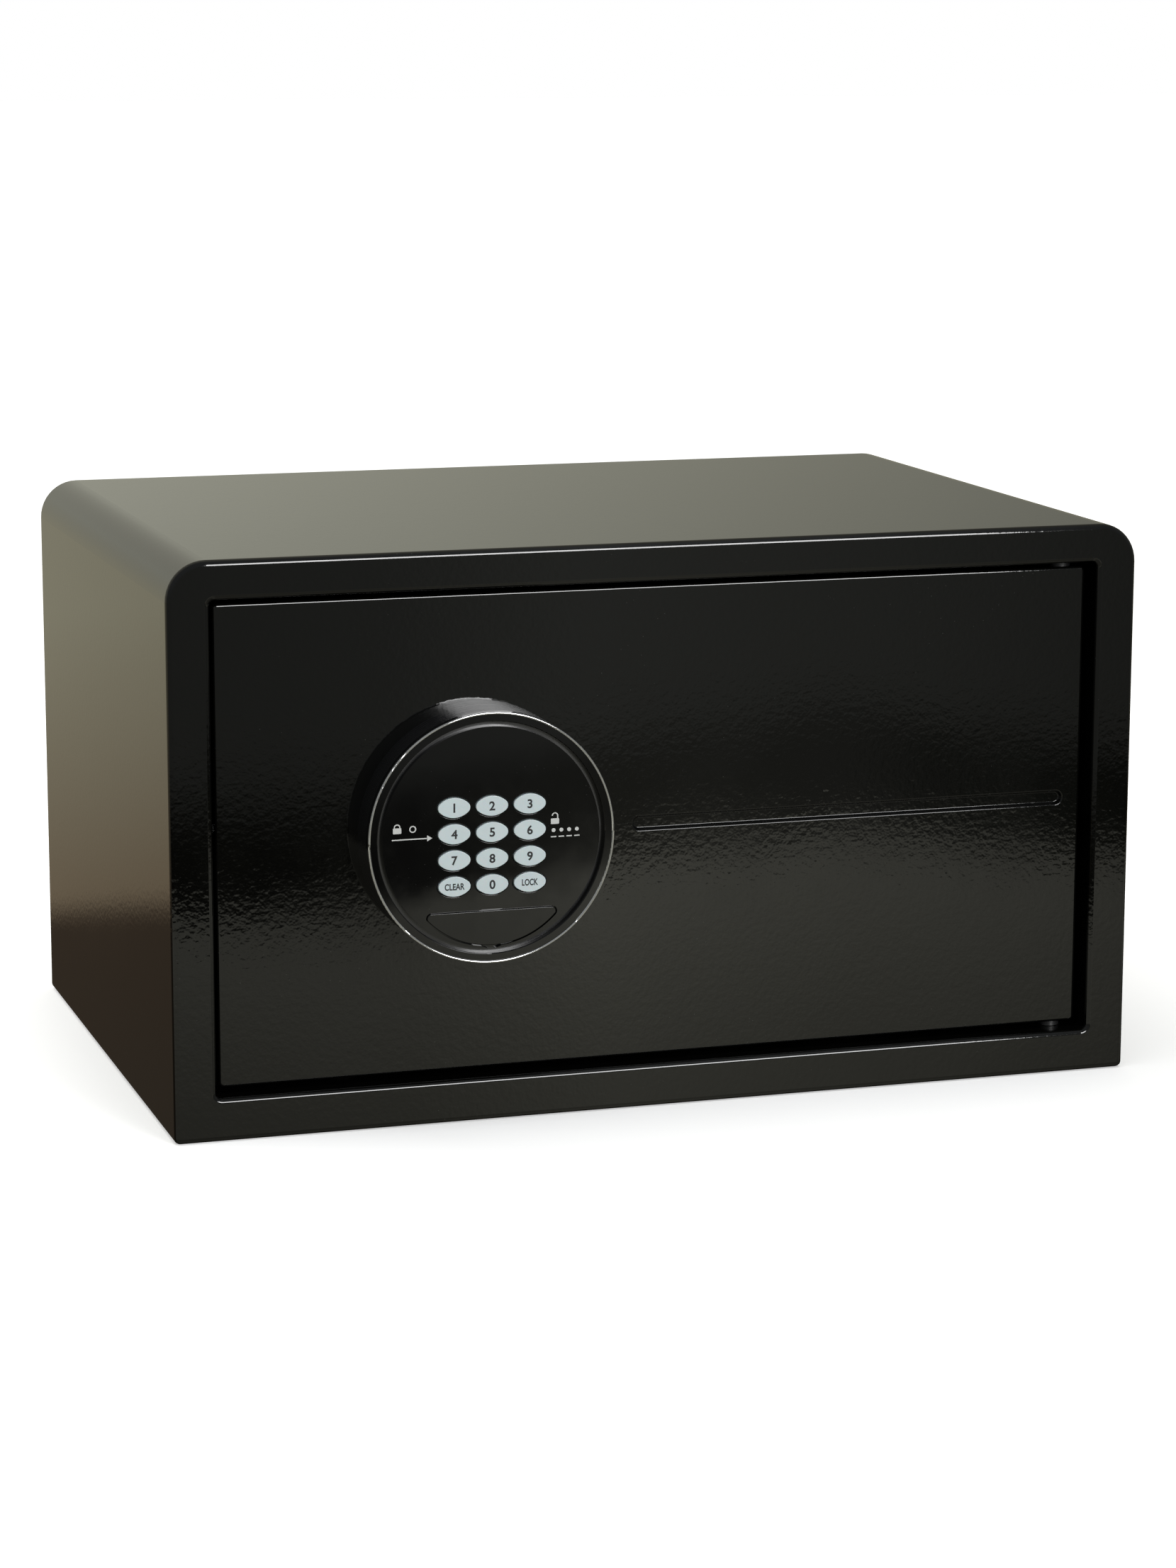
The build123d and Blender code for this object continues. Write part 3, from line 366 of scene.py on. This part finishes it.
# %% [markdown]
# ## Material builder
# Every finish below starts the same way: a Principled shader, the effect groups it needs, a colour
# blended by their masks, and a bump. This small class holds that start, and each material function
# then says only what is special about its finish.

# %% Material builder
class Finish:
    """A material under construction, with its shader, coordinates and effect groups at hand."""

    def __init__(self, name, colour, roughness, metallic=0.0):
        self.material = bpy.data.materials.new(name)
        self.material.use_nodes = True
        self.tree = self.material.node_tree
        self.shader = self.tree.nodes["Principled BSDF"]
        self.shader.inputs["Base Color"].default_value = (*colour, 1.0)
        self.shader.inputs["Roughness"].default_value = roughness
        self.shader.inputs["Metallic"].default_value = metallic
        self.where = add_node(self.tree, "ShaderNodeTexCoord").outputs["Object"]

    def group(self, group, **inputs):
        """Output of a shared effect, with its inputs set."""
        node = add_node(self.tree, "ShaderNodeGroup", node_tree=group)
        for label, value in inputs.items():
            node.inputs[label].default_value = value
        return node.outputs[0]

    def noise(self, scale, detail=2.0, roughness=0.5, stretch=None):
        return noise(self.tree, self.where, scale, detail, roughness, stretch)

    def remap(self, value, low, high, to_low, to_high):
        return remap(self.tree, value, low, high, to_low, to_high)

    def colours(self, mask, first, second):
        """Base colour blended by a mask. Each colour is a triple or a socket."""
        mix = add_node(self.tree, "ShaderNodeMix", data_type="RGBA")
        join(self.tree, mask, mix.inputs["Factor"])
        for slot, colour in (("A", first), ("B", second)):
            if isinstance(colour, tuple):
                mix.inputs[slot].default_value = (*colour, 1.0)
            else:
                join(self.tree, colour, mix.inputs[slot])
        join(self.tree, mix.outputs["Result"], self.shader.inputs["Base Color"])
        return mix.outputs["Result"]

    def rough(self, mask, low, high):
        join(self.tree, remap(self.tree, mask, 0.0, 1.0, low, high), self.shader.inputs["Roughness"])

    def bump(self, height, depth):
        """Bump from a height of 0 to 1, where depth is in metres."""
        node = add_node(self.tree, "ShaderNodeBump", inputs={"Distance": depth, "Strength": 1.0})
        join(self.tree, height, node.inputs["Height"])
        join(self.tree, node.outputs["Normal"], self.shader.inputs["Normal"])


# %% [markdown]
# ## Paint
# The body and door wear gloss black powder coat. Powder flows into a skin that mirrors the room but
# keeps a ripple about a millimetre wide, and that ripple breaks every reflected edge into grain. The
# paint itself is close to true black, so nearly all of its tone is reflection.

# %% Gloss and satin powder coat
def powder_coat():
    paint = Finish("powder_coat", (0.0016, 0.0016, 0.0014), 0.14)
    specks = paint.group(dust, Scale=300.0, Size=0.06)
    paint.colours(specks, (0.0016, 0.0016, 0.0014), (0.03, 0.03, 0.028))
    paint.rough(paint.group(smudge, Scale=11.0), 0.035, 0.065)
    paint.bump(paint.group(peel, Scale=480.0, Ripple=0.35), 0.000014)
    return paint.material


def powder_coat_satin():
    paint = Finish("powder_coat_satin", (0.010, 0.010, 0.010), 0.5)
    tone = paint.colours(paint.noise(38.0, 4.0), (0.008, 0.008, 0.008), (0.014, 0.014, 0.0135))
    paint.colours(paint.group(wear, Radius=0.0010, Amount=0.5), tone, (0.07, 0.07, 0.068))
    paint.rough(paint.group(smudge, Scale=16.0), 0.38, 0.52)
    paint.bump(paint.group(peel, Scale=1500.0, Ripple=0.2), 0.000070)
    return paint.material


# %% [markdown]
# ## Moulded plastic
# The keypad's face and ring are polished ABS, flatter than the paint, so they hold a sharp reflection.
# The drum behind them has fine lines from its mould, which draw the window, mirrored once more in the
# door, into a streaky glow on its top. The lids and trays inside have a spark-eroded texture, and the
# keys are pale and slightly blue.

# %% Gloss black, satin drum, textured black
def gloss_black():
    plastic = Finish("gloss_black", (0.0018, 0.0018, 0.0020), 0.035)
    specks = plastic.group(dust, Scale=420.0, Size=0.05)
    plastic.colours(specks, (0.0018, 0.0018, 0.0020), (0.05, 0.05, 0.05))
    plastic.rough(plastic.group(smudge, Scale=30.0), 0.025, 0.07)
    plastic.bump(plastic.noise(60.0, 1.0), 0.000012)
    plastic.shader.inputs["Specular IOR Level"].default_value = 0.42
    return plastic.material


def satin_drum():
    plastic = Finish("satin_drum", (0.006, 0.006, 0.0065), 0.2)
    lines = plastic.noise(1.0, 3.0, 0.5, (60.0, 3000.0, 60.0))
    plastic.colours(lines, (0.004, 0.004, 0.0045), (0.010, 0.010, 0.011))
    plastic.rough(lines, 0.10, 0.38)
    plastic.bump(lines, 0.00001)
    plastic.shader.inputs["Specular IOR Level"].default_value = 0.9
    return plastic.material


def black_plastic():
    plastic = Finish("black_plastic", (0.012, 0.012, 0.0125), 0.5)
    tone = plastic.colours(plastic.noise(55.0, 3.0), (0.009, 0.009, 0.0095), (0.016, 0.016, 0.0165))
    plastic.colours(plastic.group(wear, Radius=0.0006, Amount=0.4), tone, (0.06, 0.06, 0.06))
    plastic.rough(plastic.group(smudge, Scale=24.0), 0.42, 0.58)
    plastic.bump(plastic.noise(2600.0, 3.0, 0.6), 0.00005)
    return plastic.material


# %% Pale keys
KEY_PALE = (0.60, 0.68, 0.70)
KEY_SHADE = (0.56, 0.645, 0.67)


def key_white():
    plastic = Finish("key_white", KEY_PALE, 0.38)
    tone = plastic.colours(plastic.noise(420.0, 3.0), KEY_PALE, KEY_SHADE)
    plastic.colours(plastic.group(dust, Scale=900.0, Size=0.05), tone, (0.34, 0.36, 0.36))
    plastic.rough(plastic.group(smudge, Scale=90.0), 0.32, 0.45)
    plastic.bump(plastic.noise(1800.0, 2.0), 0.000015)
    plastic.shader.inputs["Subsurface Weight"].default_value = 0.08
    plastic.shader.inputs["Subsurface Scale"].default_value = 0.001
    return plastic.material


# %% Nylon, silicone and the display's dark red window
def white_nylon():
    plastic = Finish("white_nylon", (0.80, 0.78, 0.72), 0.42)
    tone = plastic.colours(plastic.noise(120.0, 4.0), (0.82, 0.80, 0.74), (0.74, 0.72, 0.65))
    plastic.colours(plastic.group(wear, Radius=0.0008, Amount=0.5), tone, (0.55, 0.53, 0.48))
    plastic.rough(plastic.group(smudge, Scale=40.0), 0.35, 0.5)
    plastic.bump(plastic.noise(1400.0), 0.00003)
    return plastic.material


def silicone():
    rubber = Finish("silicone", (0.32, 0.33, 0.34), 0.6)
    rubber.colours(rubber.noise(160.0, 4.0), (0.30, 0.31, 0.32), (0.36, 0.37, 0.38))
    rubber.rough(rubber.group(dust, Scale=500.0, Size=0.12), 0.55, 0.8)
    rubber.bump(rubber.noise(900.0, 3.0), 0.00004)
    return rubber.material


def display_red():
    window = Finish("display_red", (0.06, 0.004, 0.004), 0.08)
    window.colours(window.noise(220.0, 2.0), (0.05, 0.003, 0.003), (0.08, 0.006, 0.006))
    window.rough(window.group(smudge, Scale=60.0), 0.05, 0.16)
    return window.material


# %% [markdown]
# ## Metals
# Zinc-plated brackets show faint crystals and a drawn grain. Turned steel is brighter, with rings from
# the lathe. The keypad's bead is plated, and stays mirror bright. Screws are blackened with oxide, and
# the gear and its rack are machined brass.

# %% Zinc, bright steel, chrome
def zinc_steel():
    metal = Finish("zinc_steel", (0.60, 0.60, 0.58), 0.34, 1.0)
    crystals = add_node(metal.tree, "ShaderNodeTexVoronoi", inputs={"Scale": 210.0})
    join(metal.tree, metal.where, crystals.inputs["Vector"])
    tone = metal.remap(crystals.outputs["Distance"], 0.0, 0.8, 0.0, 1.0)
    colour = metal.colours(tone, (0.54, 0.55, 0.55), (0.66, 0.65, 0.61))
    metal.colours(metal.group(wear, Radius=0.0006, Amount=0.7), colour, (0.80, 0.80, 0.79))
    metal.rough(tone, 0.28, 0.42)
    metal.bump(metal.group(grain, Across=2400.0, Along=80.0), 0.00002)
    return metal.material


def bright_steel():
    metal = Finish("bright_steel", (0.68, 0.68, 0.69), 0.2, 1.0)
    metal.colours(metal.noise(70.0, 4.0), (0.62, 0.62, 0.64), (0.74, 0.74, 0.74))
    metal.rough(metal.group(smudge, Scale=60.0), 0.14, 0.28)
    metal.bump(metal.noise(1.0, 3.0, 0.5, (5200.0, 200.0, 200.0)), 0.000006)
    return metal.material


def chrome():
    metal = Finish("chrome", (0.78, 0.78, 0.79), 0.08, 1.0)
    metal.colours(metal.group(smudge, Scale=120.0), (0.82, 0.82, 0.83), (0.70, 0.70, 0.71))
    metal.rough(metal.group(smudge, Scale=80.0), 0.05, 0.16)
    metal.bump(metal.noise(500.0, 2.0), 0.00001)
    return metal.material


# %% Black oxide and brass
def black_oxide():
    metal = Finish("black_oxide", (0.016, 0.016, 0.017), 0.5, 0.3)
    tone = metal.colours(metal.noise(260.0, 3.0), (0.012, 0.012, 0.013), (0.022, 0.0215, 0.0215))
    metal.colours(metal.group(wear, Radius=0.0005, Amount=0.5), tone, (0.16, 0.16, 0.16))
    metal.rough(metal.group(smudge, Scale=90.0), 0.42, 0.62)
    metal.bump(metal.noise(2200.0), 0.00002)
    return metal.material


def brass_gear():
    metal = Finish("brass_gear", (0.72, 0.52, 0.24), 0.26, 1.0)
    tone = metal.colours(metal.noise(140.0, 4.0), (0.66, 0.46, 0.20), (0.78, 0.59, 0.30))
    metal.colours(metal.group(wear, Radius=0.0004, Amount=0.6), tone, (0.88, 0.74, 0.46))
    metal.rough(metal.group(smudge, Scale=70.0), 0.2, 0.36)
    metal.bump(metal.group(grain, Across=3000.0, Along=400.0), 0.000012)
    return metal.material


# %% [markdown]
# ## Inside the door and the box
# The floor of the safe has a mat of needled felt, whose loose fibres catch light at a low angle. The
# circuit boards have a green mask over copper tracks, cells wear a two-tone sleeve, and the leads are
# plain PVC.

# %% Felt
def felt():
    cloth = Finish("felt", (0.035, 0.035, 0.038), 0.95)
    across = cloth.noise(1.0, 3.0, 0.6, (260.0, 2400.0, 900.0))
    along = cloth.noise(1.0, 3.0, 0.6, (2400.0, 260.0, 900.0))
    fibres = math_node(cloth.tree, "MULTIPLY", math_node(cloth.tree, "ADD", across, along), 0.5)
    tone = cloth.colours(fibres, (0.018, 0.018, 0.020), (0.070, 0.070, 0.075))
    cloth.colours(cloth.remap(cloth.noise(18.0, 4.0), 0.4, 0.7, 0.0, 0.5), tone, (0.055, 0.054, 0.056))
    cloth.bump(fibres, 0.0004)
    cloth.shader.inputs["Sheen Weight"].default_value = 0.35
    cloth.shader.inputs["Sheen Roughness"].default_value = 0.5
    return cloth.material


# %% Circuit board, cells and cable
def circuit_board():
    board = Finish("circuit_board", (0.012, 0.10, 0.035), 0.3)
    tracks = add_node(board.tree, "ShaderNodeTexBrick",
                      inputs={"Scale": 260.0, "Mortar Size": 0.06, "Brick Width": 1.7, "Row Height": 0.5})
    turned = add_node(board.tree, "ShaderNodeMapping", inputs={"Rotation": (math.radians(90), 0, 0)})
    join(board.tree, board.where, turned.inputs["Vector"])
    join(board.tree, turned.outputs["Vector"], tracks.inputs["Vector"])
    board.colours(tracks.outputs["Fac"], (0.010, 0.085, 0.030), (0.035, 0.20, 0.075))
    board.rough(board.group(smudge, Scale=50.0), 0.22, 0.38)
    board.bump(tracks.outputs["Fac"], 0.00004)
    return board.material


def cell_jacket():
    sleeve = Finish("cell_jacket", (0.03, 0.045, 0.08), 0.3)
    low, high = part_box("battery_cells")
    middle = low[0] * 0.7 + high[0] * 0.3
    parts = add_node(sleeve.tree, "ShaderNodeSeparateXYZ")
    join(sleeve.tree, sleeve.where, parts.inputs["Vector"])
    band = sleeve.remap(parts.outputs["X"], middle - 0.0004, middle + 0.0004, 0.0, 1.0)
    tone = sleeve.colours(band, (0.42, 0.25, 0.10), (0.02, 0.03, 0.06))
    sleeve.colours(sleeve.group(wear, Radius=0.0006, Amount=0.4), tone, (0.35, 0.35, 0.36))
    sleeve.rough(sleeve.group(smudge, Scale=70.0), 0.22, 0.4)
    sleeve.bump(sleeve.noise(900.0), 0.00001)
    return sleeve.material


def cable():
    jacket = Finish("cable", (0.012, 0.012, 0.012), 0.42)
    jacket.colours(jacket.noise(300.0, 3.0), (0.010, 0.010, 0.010), (0.020, 0.020, 0.020))
    jacket.rough(jacket.group(smudge, Scale=90.0), 0.34, 0.5)
    jacket.bump(jacket.noise(1500.0), 0.00002)
    return jacket.material


# %% [markdown]
# ## Dress the frame
# Each piece in the frame names a material slot, so one table from slot to finish dresses them all. The
# drum of the keypad is the one exception: its side wall has lines from its mould, and takes its own.

# %% Give every frame piece its finish
FINISHES = {
    "powder_coat": powder_coat(), "powder_coat_matt": powder_coat_satin(), "gloss_black": gloss_black(),
    "black_plastic": black_plastic(), "key_white": key_white(), "white_nylon": white_nylon(),
    "silicone": silicone(), "display_red": display_red(), "zinc_steel": zinc_steel(),
    "bright_steel": bright_steel(), "chrome": chrome(), "black_oxide": black_oxide(),
    "brass_gear": brass_gear(), "felt": felt(), "circuit_board": circuit_board(),
    "cell_jacket": cell_jacket(), "cable": cable(),
}
SLOT_OF = {part["node"]: part["material_slot"] for part in frame["record"]["subparts"]}
for name, node in NODES.items():
    finish = FINISHES[SLOT_OF[name]]
    for slot in node.material_slots:
        slot.material = finish
drum = satin_drum()
for slot in NODES["keypad_housing"].material_slots:
    slot.material = drum
print("finishes:", len(FINISHES) + 1, "on", len(NODES), "pieces")


# %% [markdown]
# ## Legends
# Every key carries a printed figure or word. Print is a skin of ink a few hundredths of a millimetre
# thick, so each legend is real text, given that thickness, turned into a mesh and stood against its key.
# A small bevel thickens the strokes, as an offset would, but keeps closed loops such as a six whole. A
# figure keeps its own width, and the two words are squeezed to fit their keys.

# %% Printing inks
def ink(name, colour, roughness):
    """Screen-printed ink: slightly uneven in tone and gloss."""
    print_coat = Finish(name, colour, roughness)
    thin = tuple(channel * 0.85 for channel in colour)
    print_coat.colours(print_coat.noise(1400.0, 3.0), colour, thin)
    print_coat.rough(print_coat.noise(900.0), roughness - 0.06, roughness + 0.08)
    print_coat.bump(print_coat.noise(3000.0), 0.000004)
    return print_coat.material


BLACK_INK = ink("black_ink", (0.006, 0.006, 0.007), 0.42)
WHITE_INK = ink("white_ink", (0.62, 0.63, 0.62), 0.5)
print("inks:", BLACK_INK.name, WHITE_INK.name)


# %% Helpers for flat printed shapes
INK_THICKNESS = 0.02 * MM
STROKE_GAIN = 0.026        # how far the bevel thickens a letter, where the font's size is 1


def only(piece):
    """Selects one object and makes it active."""
    bpy.ops.object.select_all(action="DESELECT")
    piece.select_set(True)
    bpy.context.view_layer.objects.active = piece


def settle(piece):
    """Puts a piece's place into its mesh, so its object sits at the origin."""
    only(piece)
    bpy.ops.object.transform_apply(location=True, rotation=True, scale=True)
    return piece


def stand_up(piece, x, z, back):
    """Turns a flat shape lying on the ground to face the front, with its back at the depth given."""
    piece.rotation_euler = (math.radians(90), 0, 0)
    piece.location = (x, back, z)
    return settle(piece)


def printed_text(name, words, size, x, z, back):
    """Text centred at (x, z) on a front face. With no width it keeps the width that its height gives."""
    bpy.ops.object.select_all(action="DESELECT")
    bpy.ops.object.text_add(location=(0, 0, 0))
    text = bpy.context.object
    text.data.body = words
    text.data.extrude = 0.5
    text.data.bevel_depth = STROKE_GAIN
    text.data.bevel_resolution = 0
    bpy.ops.object.convert(target="MESH")
    piece = bpy.context.object
    piece.name = name
    low = [min(v.co[axis] for v in piece.data.vertices) for axis in range(3)]
    high = [max(v.co[axis] for v in piece.data.vertices) for axis in range(3)]
    middle = [(a + b) / 2 for a, b in zip(low, high)]
    width, height = size
    width = width or height * (high[0] - low[0]) / (high[1] - low[1])
    for vertex in piece.data.vertices:
        vertex.co.x = (vertex.co.x - middle[0]) * width / (high[0] - low[0])
        vertex.co.y = (vertex.co.y - middle[1]) * height / (high[1] - low[1])
        vertex.co.z = (vertex.co.z + 0.5) * INK_THICKNESS
    return stand_up(piece, x, z, back)


def weld(piece):
    """Merges doubled points and turns every face outwards."""
    only(piece)
    bpy.ops.object.mode_set(mode="EDIT")
    bpy.ops.mesh.select_all(action="SELECT")
    bpy.ops.mesh.remove_doubles(threshold=1e-7)
    bpy.ops.mesh.normals_make_consistent(inside=False)
    bpy.ops.object.mode_set(mode="OBJECT")
    return piece


# %% Print the twelve keys
DIGIT_HEIGHT = 3.9 * MM
LEGENDS = {
    "one": ("1", None), "two": ("2", None), "three": ("3", None), "four": ("4", None), "five": ("5", None),
    "six": ("6", None), "seven": ("7", None), "eight": ("8", None), "nine": ("9", None), "zero": ("0", None),
    "clear": ("CLEAR", 8.6 * MM), "lock": ("LOCK", 7.0 * MM),
}
WORD_HEIGHT = 2.85 * MM
for key, (words, width) in LEGENDS.items():
    low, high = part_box(f"key_{key}")
    centre_x = (low[0] + high[0]) / 2
    centre_z = (low[2] + high[2]) / 2
    tall = DIGIT_HEIGHT if len(words) == 1 else WORD_HEIGHT
    legend = weld(printed_text(f"legend_{key}", words, (width, tall), centre_x, centre_z, low[1]))
    legend.data.materials.clear()
    legend.data.materials.append(BLACK_INK)
    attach(legend, f"button_{key}")
print("legends:", len(LEGENDS))


# %% [markdown]
# ## Printed symbols
# Two small blocks of white print on the keypad's face tell a guest what to do. They are drawn here as
# plain symbols: a shut padlock and an oval key over an arrow, and an open padlock over four dots and
# four dashes for the four figures. Each stroke is a primitive, flattened to the ink's thickness, and
# the strokes are joined without merging their points, so each stays a closed shape.

# %% Strokes of ink
FACE_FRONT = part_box("fascia")[0][1]


def ink_bar(x, z, width, height, corner=0.0):
    """A bar, or a rounded block when a corner radius is given."""
    bpy.ops.object.select_all(action="DESELECT")
    bpy.ops.mesh.primitive_cube_add(size=1.0, location=(0, 0, 0))
    bar = bpy.context.object
    bar.scale = (width, height, INK_THICKNESS)
    settle(bar)
    if corner:
        bpy.ops.object.mode_set(mode="EDIT")
        bpy.ops.mesh.select_all(action="DESELECT")
        bpy.ops.object.mode_set(mode="OBJECT")
        for edge in bar.data.edges:
            first, second = (bar.data.vertices[index].co for index in edge.vertices)
            edge.select = abs(first.z - second.z) > INK_THICKNESS / 2
        bpy.ops.object.mode_set(mode="EDIT")
        bpy.ops.mesh.select_mode(type="EDGE")
        bpy.ops.mesh.bevel(offset=corner, segments=5)
        bpy.ops.object.mode_set(mode="OBJECT")
    return stand_up(bar, x, z, FACE_FRONT - INK_THICKNESS / 2)


def ink_dot(x, z, radius, sides=24, turn=0.0):
    """A filled disc, or a triangle with three sides."""
    bpy.ops.object.select_all(action="DESELECT")
    bpy.ops.mesh.primitive_cylinder_add(vertices=sides, radius=radius, depth=INK_THICKNESS,
                                        rotation=(0, 0, math.radians(turn)))
    return stand_up(settle(bpy.context.object), x, z, FACE_FRONT - INK_THICKNESS / 2)


def ink_shackle(x, z, radius, stroke, sweep):
    """The bow of a padlock: a flat square of ink spun through an angle."""
    bpy.ops.object.select_all(action="DESELECT")
    bpy.ops.mesh.primitive_plane_add(size=1.0, location=(radius, 0, 0), rotation=(math.radians(90), 0, 0))
    bow = bpy.context.object
    bow.scale = (stroke, INK_THICKNESS, 1.0)
    settle(bow)
    bpy.ops.object.mode_set(mode="EDIT")
    bpy.ops.mesh.select_all(action="SELECT")
    bpy.ops.mesh.spin(steps=20, angle=math.radians(-sweep), center=(0, 0, 0), axis=(0, 0, 1))
    bpy.ops.object.mode_set(mode="OBJECT")
    cap_ends(bow)
    weld(bow)
    return stand_up(bow, x, z, FACE_FRONT - INK_THICKNESS / 2)


def cap_ends(piece):
    """Closes any open ends of a swept shape, and clears the seam that a full turn leaves inside."""
    only(piece)
    bpy.ops.object.mode_set(mode="EDIT")
    bpy.ops.mesh.select_all(action="SELECT")
    bpy.ops.mesh.remove_doubles(threshold=1e-8)
    bpy.ops.mesh.select_all(action="DESELECT")
    bpy.ops.mesh.select_mode(type="FACE")
    bpy.ops.mesh.select_interior_faces()
    bpy.ops.mesh.delete(type="ONLY_FACE")
    bpy.ops.mesh.select_mode(type="EDGE")
    bpy.ops.mesh.select_non_manifold()
    bpy.ops.mesh.edge_face_add()
    bpy.ops.object.mode_set(mode="OBJECT")


def join_pieces(name, pieces, material, body):
    """Joins strokes into one named piece and lets it ride on a body."""
    bpy.ops.object.select_all(action="DESELECT")
    for piece in pieces:
        piece.select_set(True)
    bpy.context.view_layer.objects.active = pieces[0]
    bpy.ops.object.join()
    whole = bpy.context.object
    whole.name = name
    whole.data.materials.clear()
    whole.data.materials.append(material)
    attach(whole, body)
    return whole


# %% Shut padlock and arrow on the left, open padlock and four dots on the right
STROKE = 0.5 * MM
MIDDLE_X = (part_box("fascia")[0][0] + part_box("fascia")[1][0]) / 2
MIDDLE_Z = (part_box("fascia")[0][2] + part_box("fascia")[1][2]) / 2
LEFT_X = MIDDLE_X - 34.6 * MM
RIGHT_X = MIDDLE_X + 33.0 * MM
UPPER_Z = MIDDLE_Z + 5.6 * MM
LOWER_Z = MIDDLE_Z + 1.4 * MM
LOCK_SIZE = (3.6 * MM, 2.4 * MM)
BOW_SHARE = 0.33           # radius of a padlock's bow, as a share of its block's width
LEG_STUB = 0.25 * MM       # straight part of the bow on a shut padlock
DOT_PITCH = 3.4 * MM


def padlock(x, z, lifted):
    """Strokes of a padlock whose bow is shut, or lifted by an amount and clear on one side."""
    block = ink_bar(x, z, *LOCK_SIZE, corner=0.35 * MM)
    bow_radius = LOCK_SIZE[0] * BOW_SHARE
    top = z + LOCK_SIZE[1] / 2
    foot = top + LEG_STUB + lifted
    bow = ink_shackle(x, foot, bow_radius, STROKE, 180)
    legs = [ink_bar(x + bow_radius, (top + foot) / 2, STROKE, foot - top)]
    if not lifted:
        legs.append(ink_bar(x - bow_radius, (top + foot) / 2, STROKE, foot - top))
    return [block, bow, *legs]


arrow = [ink_bar(LEFT_X - 1.0 * MM, LOWER_Z, 15.0 * MM, STROKE),
         ink_dot(LEFT_X + 7.4 * MM, LOWER_Z, 1.5 * MM, 3, 30.0)]
oval = ink_shackle(LEFT_X + 0.5 * MM, UPPER_Z, 1.25 * MM, STROKE, 360)
to_lock = join_pieces("symbol_to_lock", padlock(LEFT_X - 6.2 * MM, UPPER_Z - 0.4 * MM, 0.0) + [oval] + arrow,
                      WHITE_INK, "door")
DOT_X = RIGHT_X - 6.0 * MM
dots = [ink_dot(DOT_X + index * DOT_PITCH, LOWER_Z + 0.2 * MM, 0.85 * MM) for index in range(4)]
under = [ink_bar(DOT_X + index * DOT_PITCH, LOWER_Z - 2.6 * MM, 2.4 * MM, STROKE) for index in range(4)]
open_lock = padlock(DOT_X + 0.6 * MM, UPPER_Z - 0.2 * MM, 0.9 * MM)
to_open = join_pieces("symbol_to_open", open_lock + dots + under, WHITE_INK, "door")
print("symbols:", to_lock.name, to_open.name)
